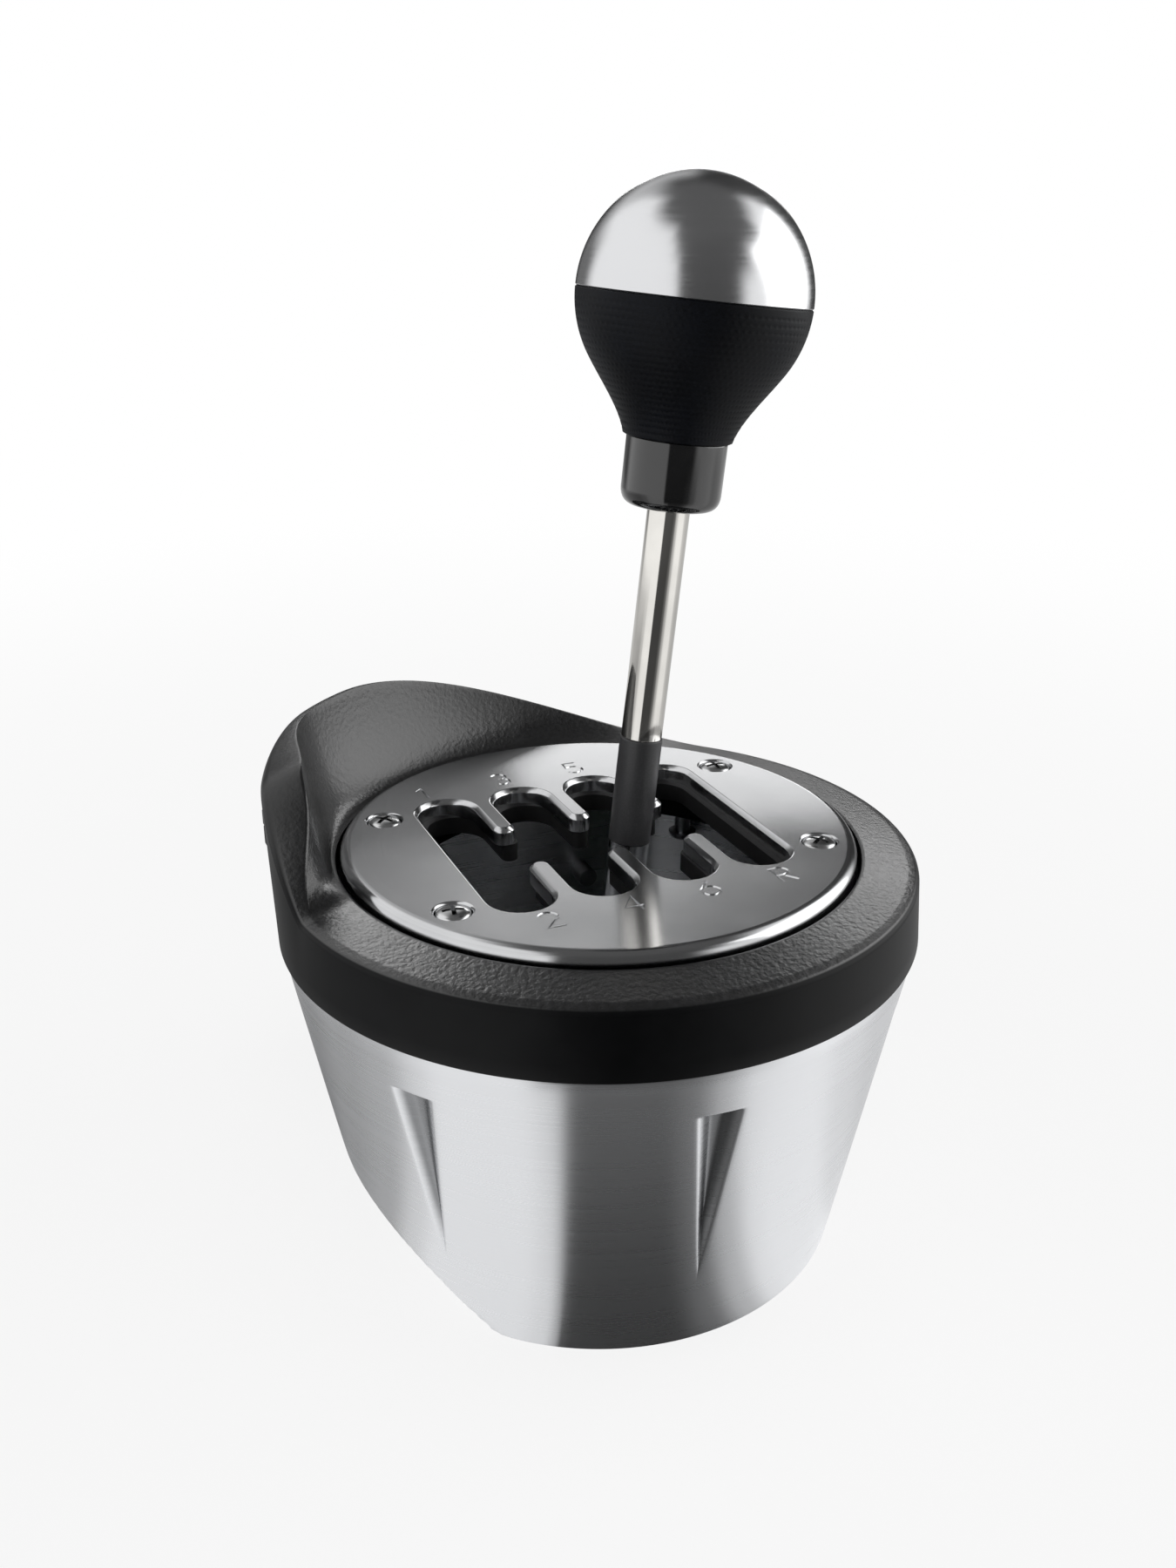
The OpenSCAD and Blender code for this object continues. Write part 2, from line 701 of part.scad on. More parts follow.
module select_pins() {
    color("#c4c7ca") {
        translate([0, cradle_in[1] + 0.5, pivot_z]) rotate([-90, 0, 0])
            cylinder(h = block_y + block_t + 0.5 - cradle_in[1], r = pin_r);
        translate([0, -cradle_in[1] - 0.5, pivot_z]) rotate([90, 0, 0])
            cylinder(h = frame_end_y - cradle_in[1], r = pin_r);
    }
}

module shift_bushes() {
    color("#b08d57") on_lever() for (side = [0, 1]) mirror([side, 0, 0])
        translate([cradle_in[0], 0, 0]) rotate([0, 90, 0]) difference() {
            union() {
                cylinder(h = cradle_half[0] - cradle_in[0], r = shift_bush_r);
                translate([0, 0, -shift_flange[1]]) cylinder(h = shift_flange[1], r = shift_flange[0]);
            }
            translate([0, 0, -4]) cylinder(h = cradle_half[0], r = shift_pin_r + run_fit);
        }
}

module shift_pin() {
    color("#c4c7ca") on_lever() rotate([0, 90, 0])
        cylinder(h = 2 * cradle_half[0] - 1, r = shift_pin_r, center = true);
}

module lever_hub() {
    color("#5d6166") on_lever() difference() {
        union() {
            rotate([0, 90, 0]) cylinder(h = 2 * hub_half, r = hub_r, center = true);
            cylinder(h = hub_neck_h, r = hub_neck_r);
        }
        cylinder(h = far, r = shaft_r + seat_fit, center = true);
        rotate([0, 90, 0]) cylinder(h = far, r = shift_pin_r + seat_fit, center = true);
        translate([0, 0, hub_neck_h - 4]) rotate([90, 0, 0]) cylinder(h = far, r = m3[0] + seat_fit);
    }
}

module hub_screw() {
    color("#8d9094") on_lever() translate([0, -shaft_r, hub_neck_h - 4]) rotate([90, 0, 0]) difference() {
        cylinder(h = hub_neck_r - shaft_r + 0.5, r = m3[0]);
        translate([0, 0, hub_neck_r - shaft_r - 1]) cylinder(h = 2, r = m3[0] / 2, $fn = 6);
    }
}

module lever_shaft() {
    color("#d0d2d4") on_lever() difference() {
        union() {
            translate([0, 0, -hub_r]) cylinder(h = hub_r + sleeve_lo, r = shaft_r);
            cylinder(h = spigot_split, r = spigot_r);
        }
        rotate([0, 90, 0]) cylinder(h = far, r = shift_pin_r + seat_fit, center = true);
    }
}

module lever_magnet() {
    color("#9a9da0") on_lever() translate([0, 0, -hub_r - magnet_t]) cylinder(h = magnet_t, r = magnet_r);
}

module lever_sleeve() {
    color("#2a2b2d") on_lever() translate([0, 0, sleeve_lo]) difference() {
        cylinder(h = sleeve_hi - sleeve_lo, r = sleeve_r);
        translate([0, 0, -1]) cylinder(h = sleeve_hi - sleeve_lo + 2, r = spigot_r + seat_fit);
    }
}

module lever_rod() {
    color("#d9dadb") on_lever() {
        translate([0, 0, sleeve_hi]) cylinder(h = rod_hi - sleeve_hi, r = rod_r);
        translate([0, 0, spigot_split]) cylinder(h = sleeve_hi - spigot_split, r = spigot_r);
    }
}

module knob_collar() {
    color("#0e0e0f") on_lever() translate([0, 0, collar_lo]) rotate_extrude()
        polygon(concat(
            [[rod_r + seat_fit, collar_l], [rod_r + seat_fit, 0]],
            arc(collar_r - collar_round, collar_round, collar_round, -90, 0, 6),
            [[collar_r, collar_l]]
        ));
}

module knob_insert() {
    color("#a4a7aa") on_lever() difference() {
        translate([0, 0, insert_lo]) cylinder(h = insert_hi - insert_lo, r = insert_r);
        translate([0, 0, insert_lo - 1]) cylinder(h = rod_hi - insert_lo + 1, r = rod_r + seat_fit);
    }
}

// Radius of the grip at a depth below the equator: a ball that flows into the neck
ball_depth = knob_r * 0.534;
ball_edge = sqrt(knob_r * knob_r - ball_depth * ball_depth);
ball_slope = -ball_depth / ball_edge;
neck_slope = -0.25;
function flow(t, span) = ball_edge * (1 - 3 * t * t + 2 * t * t * t)
    + span * ball_slope * t * (1 - t) * (1 - t)
    + neck_r * t * t * (3 - 2 * t) - span * neck_slope * t * t * (1 - t);
function grip_r(d) = d < ball_depth
    ? sqrt(knob_r * knob_r - d * d)
    : flow((d - ball_depth) / (grip_l - ball_depth), grip_l - ball_depth);
grip_steps = 18;

module knob_grip() {
    color("#121316") on_lever() translate([0, 0, equator]) rotate_extrude()
        polygon(concat(
            [[insert_r + seat_fit, 0]],
            [for (i = [0:grip_steps]) let (d = grip_l * i / grip_steps) [grip_r(d), -d]],
            [[insert_r + seat_fit, -grip_l]]
        ));
}

module knob_cap() {
    color("#c6c8cb") on_lever() translate([0, 0, equator]) difference() {
        intersection() {
            sphere(r = knob_r);
            translate([0, 0, knob_r]) cube(2 * knob_r, center = true);
        }
        translate([0, 0, -1]) cylinder(h = insert_hi - equator + 1, r = insert_r + seat_fit);
    }
}

module lower_jaw() {
    color("#232529") difference() {
        translate([-flange_half, back_y + plate_t + jaw_gap, lower_jaw_z])
            cube([2 * flange_half, jaw_y - back_y - plate_t - jaw_gap, lower_jaw_t]);
        for (x = [-1, 1]) translate([x * clamp_screw_x, screw_y, lower_jaw_z - 1])
            cylinder(h = lower_jaw_t + 2, r = nut_r + seat_fit);
    }
}

module lower_jaw_pad() {
    color("#151617") translate([-flange_half, pad_y, lower_jaw_z + lower_jaw_t])
        cube([2 * flange_half, jaw_y - pad_y, lower_pad_t]);
}

module jaw_nuts() {
    color("#b08d57") for (x = [-1, 1]) translate([x * clamp_screw_x, screw_y, lower_jaw_z]) difference() {
        cylinder(h = lower_jaw_t + 2, r = nut_r);
        translate([0, 0, -1]) cylinder(h = lower_jaw_t + 4, r = screw_r + run_fit);
    }
}

// Clamp screw between the lower flange and the upper jaw, with a journal at each end
module clamp_screw(side) {
    color("#a9acaf") translate([side * clamp_screw_x, screw_y, 0]) {
        translate([0, 0, flange_hi + 0.2]) cylinder(h = jaw_z - flange_hi - 0.4, r = screw_r);
        translate([0, 0, flange_lo - 4]) cylinder(h = jaw_top - flange_lo + 3.5, r = journal_r);
    }
}

// Round clamp knob with finger hollows
module clamp_knob(side) {
    hollow_count = 6;
    color("#18191b") translate([side * clamp_screw_x, screw_y, flange_lo - 0.3 - clamp_knob_h]) difference() {
        cylinder(h = clamp_knob_h, r = clamp_knob_r);
        for (i = [0:hollow_count - 1]) rotate([0, 0, (i + 0.5) * 360 / hollow_count])
            translate([clamp_knob_r * 1.18, 0, -1]) cylinder(h = clamp_knob_h + 2, r = clamp_knob_r * 0.36);
        translate([0, 0, clamp_knob_h - 3.7 - loose_fit]) cylinder(h = 5, r = journal_r + seat_fit);
    }
}

lower_housing();
upper_housing();
gate_plate();
gate_guide();
gate_screws();
base_plate();
base_screws();
housing_screws();
mechanism_frame();
frame_screws();
select_bushes();
friction_block();
tension_screw();
sensor_board();
control_board();
board_spacers();
data_socket();
clamp_bracket();
bracket_screws();
jaw_pad();
select_cradle();
select_pins();
shift_bushes();
shift_pin();
lever_hub();
hub_screw();
lever_shaft();
lever_magnet();
lever_sleeve();
lever_rod();
knob_collar();
knob_insert();
knob_grip();
knob_cap();
lower_jaw();
lower_jaw_pad();
jaw_nuts();
clamp_screw(-1);  // left_clamp_screw
clamp_screw(1);  // right_clamp_screw
clamp_knob(-1);  // left_clamp_knob
clamp_knob(1);  // right_clamp_knob
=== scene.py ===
import json
import math

import bmesh
import bpy
from mathutils import Matrix, Vector
from mathutils.geometry import delaunay_2d_cdt


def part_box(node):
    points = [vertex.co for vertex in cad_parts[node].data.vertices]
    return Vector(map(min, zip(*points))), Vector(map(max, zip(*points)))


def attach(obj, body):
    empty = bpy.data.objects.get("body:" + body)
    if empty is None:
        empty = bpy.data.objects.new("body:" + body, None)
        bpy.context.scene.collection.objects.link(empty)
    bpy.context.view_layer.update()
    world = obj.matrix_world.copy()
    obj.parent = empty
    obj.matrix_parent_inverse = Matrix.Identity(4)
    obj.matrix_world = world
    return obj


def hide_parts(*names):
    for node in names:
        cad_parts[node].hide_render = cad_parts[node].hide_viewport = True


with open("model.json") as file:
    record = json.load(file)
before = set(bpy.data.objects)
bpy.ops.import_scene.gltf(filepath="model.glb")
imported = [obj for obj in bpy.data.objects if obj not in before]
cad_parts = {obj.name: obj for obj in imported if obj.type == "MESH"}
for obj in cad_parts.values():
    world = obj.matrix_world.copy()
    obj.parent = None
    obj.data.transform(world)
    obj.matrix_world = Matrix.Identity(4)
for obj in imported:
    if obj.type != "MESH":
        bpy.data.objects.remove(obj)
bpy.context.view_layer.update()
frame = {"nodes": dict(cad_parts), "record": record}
nodes = frame["nodes"]
mm = 0.001
print("frame loaded:", len(nodes), "nodes")


# a wrapped socket: sums on it add Math nodes, in a material or in a geometry tree
class Wire:
    def __init__(self, maker, out):
        self.maker = maker
        self.out = out

    def calc(self, operation, *values):
        return self.maker.node("ShaderNodeMath", {"operation": operation}, dict(enumerate(values)))

    def __add__(self, other):
        return self.calc("ADD", self, other)

    __radd__ = __add__

    def __sub__(self, other):
        return self.calc("SUBTRACT", self, other)

    def __rsub__(self, other):
        return self.calc("SUBTRACT", other, self)

    def __mul__(self, other):
        return self.calc("MULTIPLY", self, other)

    __rmul__ = __mul__

    def __truediv__(self, other):
        return self.calc("DIVIDE", self, other)

    def fade(self, low, high, atLow=0.0, atHigh=1.0):
        return self.maker.node(
            "ShaderNodeMapRange",
            {"interpolation_type": "SMOOTHSTEP"},
            {"Value": self, "From Min": low, "From Max": high, "To Min": atLow, "To Max": atHigh},
        )


class Tree:
    def __init__(self, tree):
        self.tree = tree

    def node(self, kind, settings=None, sockets=None, out=0):
        made = self.tree.nodes.new(kind)
        for key, value in (settings or {}).items():
            setattr(made, key, value)
        for key, value in (sockets or {}).items():
            if isinstance(value, Wire):
                self.tree.links.new(value.out, made.inputs[key])
            else:
                made.inputs[key].default_value = value
        return Wire(self, made.outputs[out]) if made.outputs else None

    def tint(self, first, second, share):
        return self.node("ShaderNodeMix", {"data_type": "RGBA"}, {0: share, 6: first, 7: second}, out=2)

    # 1 where the camera, or a ray mirrored or let through by the object, looks at the surface
    def seenRay(self):
        path = self.tree.nodes.new("ShaderNodeLightPath")
        seen = Wire(self, path.outputs["Is Camera Ray"])
        for ray in ("Is Glossy Ray", "Is Transmission Ray"):
            seen = seen.calc("MAXIMUM", seen, Wire(self, path.outputs[ray]))
        return seen


# a geometry tree with named sizes: run puts it on a piece and turns the result into a plain mesh
class SizedTree(Tree):
    def __init__(self, name, sizes):
        super().__init__(bpy.data.node_groups.new(name, "GeometryNodeTree"))
        face = self.tree.interface
        face.new_socket("Geometry", in_out="INPUT", socket_type="NodeSocketGeometry")
        self.values = {}
        for label, value in sizes.items():
            socket = face.new_socket(label, in_out="INPUT", socket_type="NodeSocketFloat")
            self.values[socket.identifier] = value
        face.new_socket("Geometry", in_out="OUTPUT", socket_type="NodeSocketGeometry")
        entry = self.tree.nodes.new("NodeGroupInput")
        self.wire = {label: Wire(self, entry.outputs[label]) for label in ["Geometry", *sizes]}

    def run(self, piece, made, material):
        whole = self.node("GeometryNodeRealizeInstances", {}, {"Geometry": made})
        dressed = self.node("GeometryNodeSetMaterial", {}, {"Geometry": whole, "Material": material})
        leave = self.tree.nodes.new("NodeGroupOutput")
        self.tree.links.new(dressed.out, leave.inputs["Geometry"])
        use = piece.modifiers.new(self.tree.name, "NODES")
        use.node_group = self.tree
        for identifier, value in self.values.items():
            use[identifier] = value
        baked(piece)


class Finish(Tree):
    def __init__(self, name):
        self.material = bpy.data.materials.new(name)
        self.material.use_nodes = True
        super().__init__(self.material.node_tree)
        self.tree.nodes.clear()

    def place(self, stretch=(1, 1, 1)):
        coords = self.node("ShaderNodeTexCoord", out="Object")
        return self.node("ShaderNodeMapping", {}, {"Vector": coords, "Scale": stretch})

    def noise(self, vector, scale, detail=3.0, rough=0.55):
        return self.node(
            "ShaderNodeTexNoise", {}, {"Vector": vector, "Scale": scale, "Detail": detail, "Roughness": rough}
        )

    def bump(self, height, distance):
        return self.node("ShaderNodeBump", {}, {"Height": height, "Distance": distance, "Strength": 1.0})

    def marked(self, name):
        return self.node("ShaderNodeAttribute", {"attribute_name": name}, out="Fac")

    def close(self, shader):
        self.node("ShaderNodeOutputMaterial", {}, {"Surface": shader})
        return self.material

    def blend(self, share, first, second):
        return self.close(self.node("ShaderNodeMixShader", {}, {0: share, 1: first, 2: second}))

    def surface(self, **sockets):
        names = {key.replace("_", " "): value for key, value in sockets.items()}
        return self.close(self.node("ShaderNodeBsdfPrincipled", {}, names))


def scaled(color, factor, lift=0.0):
    return tuple(c * factor + lift for c in color[:3]) + (1,)


# metal turned or brushed in rings around the upright axis: long along the rings, fine across them.
# With a deep colour, places that the "deep" attribute marks are tinted darker: painted shade in the flutes' recesses
def turnedMetal(name, color, rough, ringScale=(18, 18, 1500), spread=0.85, streak=0.1, scratch=0.0000025,
                dark=None, deep=None):
    finish = Finish(name)
    rings = finish.noise(finish.place(ringScale), 1.0, detail=4, rough=0.6)
    cloud = finish.noise(finish.place(), 45, detail=2)
    shade = (rings - 0.5) * streak + (cloud - 0.5) * streak * 0.6
    face = finish.tint(dark or scaled(color, 0.8), color, (shade + 0.75).fade(0.4, 1.0))
    # painted shade: places deep in a flute are tinted towards the deep colour
    if deep:
        face = finish.tint(face, deep, finish.marked("deep").fade(0.08, 0.6))
    return finish.surface(
        Base_Color=face,
        Metallic=1.0,
        Roughness=(rings - 0.5) * 0.16 + (cloud - 0.5) * 0.06 + rough,
        Anisotropic=spread,
        Anisotropic_Rotation=0.25,
        Normal=finish.bump(rings, scratch),
    )


# moulded plastic: a pebbled grain, with fine scuffs in the gloss
def mouldedPlastic(name, color, rough, grain, grainScale=1500, coat=0.0):
    finish = Finish(name)
    pebble = finish.noise(finish.place(), grainScale, detail=2, rough=0.5)
    cloud = finish.noise(finish.place(), 60, detail=3)
    return finish.surface(
        Base_Color=finish.tint(color, scaled(color, 1.5, 0.004), (cloud * 0.5 + pebble * 0.5).fade(0.35, 0.75)),
        Roughness=(cloud - 0.5) * 0.12 + (pebble - 0.5) * 0.1 + rough,
        Coat_Weight=coat,
        Normal=finish.bump(pebble, grain),
    )


# paint or plating with a faint orange peel
def coatedMetal(name, color, rough, metallic=0.0):
    finish = Finish(name)
    orange = finish.noise(finish.place(), 900, detail=2)
    cloud = finish.noise(finish.place(), 70, detail=3)
    return finish.surface(
        Base_Color=finish.tint(color, scaled(color, 1.35, 0.006), cloud.fade(0.3, 0.7)),
        Metallic=metallic,
        Roughness=(cloud - 0.5) * 0.14 + (orange - 0.5) * 0.12 + rough,
        Normal=finish.bump(orange, 0.00002),
    )


# bare metal with fine hairlines
def polishedMetal(name, color, rough):
    finish = Finish(name)
    cloud = finish.noise(finish.place(), 80, detail=3)
    hair = finish.noise(finish.place((300, 300, 3000)), 1.0, detail=3)
    return finish.surface(
        Base_Color=finish.tint(scaled(color, 0.88), color, cloud.fade(0.3, 0.7)),
        Metallic=1.0,
        Roughness=(hair - 0.5) * 0.05 + (cloud - 0.5) * 0.03 + rough,
    )


# the ring's moulding carries its grain in an attribute: strong on the sloped face, weak on the band
def hoodPlastic():
    finish = Finish("grainedBlack")
    amount = finish.marked("grain")
    pebble = finish.noise(finish.place(), 950, detail=2, rough=0.5)
    cloud = finish.noise(finish.place(), 50, detail=3)
    bandTint = finish.tint((0.0022, 0.0024, 0.0028, 1), (0.0055, 0.0058, 0.0064, 1), cloud.fade(0.3, 0.7))
    band = finish.node("ShaderNodeBsdfPrincipled", {}, {
        "Base Color": bandTint, "Roughness": (cloud - 0.5) * 0.08 + 0.4, "Specular IOR Level": 0.14,
    })
    patches = (pebble * 0.7 + cloud * 0.3).fade(0.34, 0.7)
    slope = finish.node("ShaderNodeBsdfPrincipled", {}, {
        "Base Color": finish.tint((0.0022, 0.0023, 0.0026, 1), (0.007, 0.0072, 0.008, 1), patches),
        "Roughness": (cloud - 0.5) * 0.06 + (pebble - 0.5) * 0.1 + 0.33,
        "Specular IOR Level": 0.95,
        "Normal": finish.bump(pebble * amount, 0.00011),
    })
    return finish.blend(amount.fade(0.15, 0.7), band, slope)


def gripRubber():
    finish = Finish("dimpledGrip")
    fine = finish.noise(finish.place(), 2600, detail=2)
    cloud = finish.noise(finish.place(), 70, detail=3)
    patches = (fine * 0.5 + cloud * 0.5).fade(0.35, 0.7)
    return finish.surface(
        Base_Color=finish.tint((0.0012, 0.0016, 0.0028, 1), (0.0046, 0.006, 0.0098, 1), patches),
        Roughness=(cloud - 0.5) * 0.1 + (fine - 0.5) * 0.08 + 0.5,
        Specular_IOR_Level=0.16,
        Normal=finish.bump(fine, 0.00002),
    )


# engraved and chamfered edges of the gate are polished: the "polish" attribute marks them
def gateMetal():
    finish = Finish("brushedGate")
    polish = finish.marked("polish")
    coords = finish.node("ShaderNodeTexCoord", out="Object")
    flat = finish.node("ShaderNodeVectorMath", {"operation": "MULTIPLY"}, {0: coords, 1: (1, 1, 0)})
    radius = finish.node("ShaderNodeVectorMath", {"operation": "LENGTH"}, {0: flat}, out="Value")
    ringPlace = finish.node("ShaderNodeCombineXYZ", {}, {"X": radius * 2600})
    rings = finish.noise(ringPlace, 1.0, detail=4, rough=0.65)
    cloud = finish.noise(finish.place(), 40, detail=3)
    broken = finish.noise(finish.place(), 350, detail=3)
    line = (rings - 0.5) * (broken * 0.8 + 0.4)
    patches = (line * 0.5 + cloud * 0.4 + 0.3).fade(0.2, 0.85)
    return finish.surface(
        Base_Color=finish.tint((0.50, 0.505, 0.515, 1), (0.74, 0.745, 0.755, 1), patches),
        Metallic=1.0,
        Roughness=(line * 0.1 + (cloud - 0.5) * 0.05 + 0.19) * (1 - polish) + polish * 0.16,
        Anisotropic=0.8,
        Anisotropic_Rotation=0.25,
        Normal=finish.bump(line * (1 - polish), 0.000003),
    )


def boardGreen():
    finish = Finish("boardMask")
    tracks = finish.node("ShaderNodeTexBrick", {}, {
        "Vector": finish.place((700, 700, 700)), "Color1": (0.02, 0.13, 0.06, 1), "Color2": (0.025, 0.16, 0.075, 1),
        "Mortar": (0.04, 0.2, 0.1, 1), "Scale": 1.0,
    })
    cloud = finish.noise(finish.place(), 120, detail=3)
    return finish.surface(Base_Color=tracks, Roughness=(cloud - 0.5) * 0.2 + 0.32)


finishes = {
    # the bucket's deep colour is painted shade in the flutes' recesses
    "bucket": turnedMetal("satinBucket", (0.88, 0.89, 0.91, 1), 0.29,
                          dark=(0.7, 0.71, 0.73, 1), deep=(0.3, 0.305, 0.315, 1)),
    "moulding": hoodPlastic(),
    "gate": gateMetal(),
    "guide": mouldedPlastic("guideBlack", (0.004, 0.004, 0.0045, 1), 0.6, 0.00003),
    "bright_screw": polishedMetal("brightScrew", (0.74, 0.745, 0.75, 1), 0.2),
    "zinc_screw": polishedMetal("zincScrew", (0.5, 0.51, 0.53, 1), 0.3),
    "dark_steel": coatedMetal("blackCoat", (0.02, 0.02, 0.022, 1), 0.5),
    "frame_steel": coatedMetal("zincSheet", (0.42, 0.43, 0.45, 1), 0.36, 1.0),
    "ground_steel": turnedMetal("groundSteel", (0.78, 0.785, 0.795, 1), 0.13, spread=0.3),
    "bronze": turnedMetal("bushBronze", (0.66, 0.46, 0.2, 1), 0.3, spread=0.5),
    "circuit_board": boardGreen(),
    "magnet": polishedMetal("nickelMagnet", (0.62, 0.61, 0.58, 1), 0.18),
    "sleeve": mouldedPlastic("sleeveGrey", (0.036, 0.036, 0.038, 1), 0.42, 0.000006, 2600),
    "lever_chrome": polishedMetal("leverChrome", (0.86, 0.84, 0.8, 1), 0.07),
    "collar_gloss": mouldedPlastic("collarGloss", (0.005, 0.005, 0.0055, 1), 0.12, 0.0000008, 300, coat=1.0),
    "insert_metal": turnedMetal("turnedInsert", (0.6, 0.61, 0.62, 1), 0.3),
    "grip": gripRubber(),
    "cap_metal": turnedMetal("brushedCap", (0.82, 0.825, 0.84, 1), 0.21, (14, 14, 1800), 0.3, 0.06, 0.0000008),
    "clamp_steel": coatedMetal("clampCoat", (0.018, 0.018, 0.02, 1), 0.46),
    "pad_rubber": mouldedPlastic("padRubber", (0.014, 0.014, 0.015, 1), 0.72, 0.00006, 900),
    "knob_plastic": mouldedPlastic("knobPlastic", (0.014, 0.014, 0.015, 1), 0.45, 0.00004, 1300),
}
slotOf = {s["node"]: s["material_slot"] for s in frame["record"]["subparts"]}
bodyOf = {n: b for b, members in frame["record"]["behaviour"]["bodies"].items() for n in members}
for nodeName, nodeObject in nodes.items():  # every CAD node gets its finish, also where a piece replaces it
    nodeObject.data.materials.clear()
    nodeObject.data.materials.append(finishes[slotOf[nodeName]])
print("finishes made:", len(finishes))


def standFor(piece, node):
    piece.data.materials.clear()
    piece.data.materials.append(finishes[slotOf[node]])
    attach(piece, bodyOf[node])
    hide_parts(node)
    return piece


def linked(name, data):
    made = bpy.data.objects.new(name, data)
    bpy.context.scene.collection.objects.link(made)
    return made


def newPiece(name, verts, faces):
    mesh = bpy.data.meshes.new(name)
    mesh.from_pydata([tuple(v) for v in verts], [], faces)
    mesh.update()
    return linked(name, mesh)


def mark(mesh, name, values, domain="POINT"):
    mesh.attributes.new(name, "FLOAT", domain).data.foreach_set("value", values)


# quads of a grid of points, which closes on itself both ways unless it is open
def gridFaces(rows, columns, closed=True):
    last = 0 if closed else 1
    faces = []
    for i in range(rows - last):
        for j in range(columns - last):
            n, k = (i + 1) % rows, (j + 1) % columns
            faces.append([i * columns + j, i * columns + k, n * columns + k, n * columns + j])
    return faces


def mix(a, b, t):
    return a + (b - a) * t


def polar(r, degrees):
    a = math.radians(degrees)
    return r * math.cos(a), r * math.sin(a)


def circle(r, steps, cx=0.0, cy=0.0):
    turns = [2 * math.pi * i / steps for i in range(steps)]
    return [(cx + r * math.cos(a), cy + r * math.sin(a)) for a in turns]


def arc(cx, cy, r, start, end, steps):
    places = [polar(r, mix(start, end, i / steps)) for i in range(steps + 1)]
    return [(cx + x, cy + y) for x, y in places]


# a curve from a to c that leans towards b
def bend(a, b, c, t):
    return a * (1 - t) ** 2 + b * 2 * t * (1 - t) + c * t ** 2


def newBox(name, low, high):
    form = bmesh.new()
    bmesh.ops.create_cube(form, size=1)
    for v in form.verts:
        v.co = [mix(low[i], high[i], v.co[i] + 0.5) for i in range(3)]
    mesh = bpy.data.meshes.new(name)
    form.to_mesh(mesh)
    form.free()
    return linked(name, mesh)


def softShade(piece, angle=32):
    piece.data.shade_smooth()
    edges = bmesh.new()
    edges.from_mesh(piece.data)
    limit = math.radians(angle)
    for edge in edges.edges:
        edge.smooth = len(edge.link_faces) == 2 and edge.calc_face_angle(0) < limit
    edges.to_mesh(piece.data)
    edges.free()


def finalMesh(thing):
    bpy.context.view_layer.update()
    return bpy.data.meshes.new_from_object(thing.evaluated_get(bpy.context.evaluated_depsgraph_get()))


def baked(piece):
    mesh = finalMesh(piece)
    mesh.name = piece.name
    piece.modifiers.clear()
    piece.data = mesh


# joins points that coincide and turns all faces outwards
def tidyMesh(piece, merge=1e-7):
    form = bmesh.new()
    form.from_mesh(piece.data)
    bmesh.ops.remove_doubles(form, verts=form.verts, dist=merge)
    bmesh.ops.recalc_face_normals(form, faces=form.faces)
    form.to_mesh(piece.data)
    form.free()


def carve(piece, cutter):
    cut = piece.modifiers.new("cut", "BOOLEAN")
    cut.object = cutter
    cut.solver = "EXACT"
    cut.use_self = True
    baked(piece)
    bpy.data.objects.remove(cutter)


# rounds the corners of a profile of (radius, height) points
def rounded(points, radii, steps=5):
    made = []
    count = len(points)
    for i, (p, r) in enumerate(zip(points, radii)):
        here = Vector(p)
        if r <= 0:
            made.append(here)
            continue
        back = (Vector(points[i - 1]) - here).normalized()
        onward = (Vector(points[(i + 1) % count]) - here).normalized()
        half = back.angle(onward) / 2
        reach = r / math.tan(half)
        start, end = here + back * reach, here + onward * reach
        for k in range(steps + 1):
            made.append(bend(start, here, end, k / steps))
    return [tuple(p) for p in made]


# turns a closed profile around Z: points at radius 0 become poles
def turned(name, profile, segments=96, matrix=Matrix()):
    verts, faces = [], []
    rows = []
    for r, z in profile:
        if r < 1e-6:
            rows.append([len(verts)])
            verts.append(Vector((0, 0, z)))
        else:
            rows.append(list(range(len(verts), len(verts) + segments)))
            for k in range(segments):
                a = 2 * math.pi * k / segments
                verts.append(Vector((r * math.cos(a), r * math.sin(a), z)))
    for i, low in enumerate(rows):
        high = rows[(i + 1) % len(rows)]
        if len(low) == 1 and len(high) == 1:
            continue
        for k in range(segments):
            n = (k + 1) % segments
            ring = [low[k % len(low)], low[n % len(low)], high[n % len(high)], high[k % len(high)]]
            face = list(dict.fromkeys(ring))
            if len(face) > 2:
                faces.append(face)
    piece = newPiece(name, [matrix @ (v * mm) for v in verts], faces)
    tidyMesh(piece)
    softShade(piece)
    return piece


# body values in millimetres, as the solids have them
gate = {"d": 112, "t": 4, "top": 94, "pitch": 18, "slotW": 13, "reach": 29.3, "neutral": 8.65, "chamfer": 1.0,
        "round": 2.4, "roundSteps": 10, "rimSteps": 192, "lowEdge": 0.4, "screwR": 47.8, "screwAngle": 30,
        "headHole": 3.8, "holeSteps": 48, "headDrop": 1.4}
gateAngles = [gate["screwAngle"], 180 - gate["screwAngle"], 180 + gate["screwAngle"], -gate["screwAngle"]]
lever = {"pivotZ": 24, "tilt": math.atan(7.6 / 68), "sleeveTop": 20.5, "sleeveDrop": 3.5, "knobH": 111, "knobR": 23.4,
         "gripL": 27, "neckR": 11.1, "collarR": 10.3, "collarL": 14, "collarRound": 3.5, "rodR": 4.4, "rodIn": 8,
         "spigotR": 3.0, "spigotL": 5, "fit": 0.02, "sleeveR": 4.6, "sleeveRound": 0.35, "insertR": 8}
gateDist = (gate["top"] - lever["pivotZ"]) / math.cos(lever["tilt"])
equator = gateDist + lever["knobH"]
onLever = Matrix.Translation((0, 0, lever["pivotZ"] * mm)) @ Matrix.Rotation(lever["tilt"], 4, "Y")


def smooth(t):
    t = min(max(t, 0), 1)
    return t * t * (3 - 2 * t)


def softMin(a, b, k):
    return (a + b - math.sqrt((a - b) ** 2 + k * k)) / 2


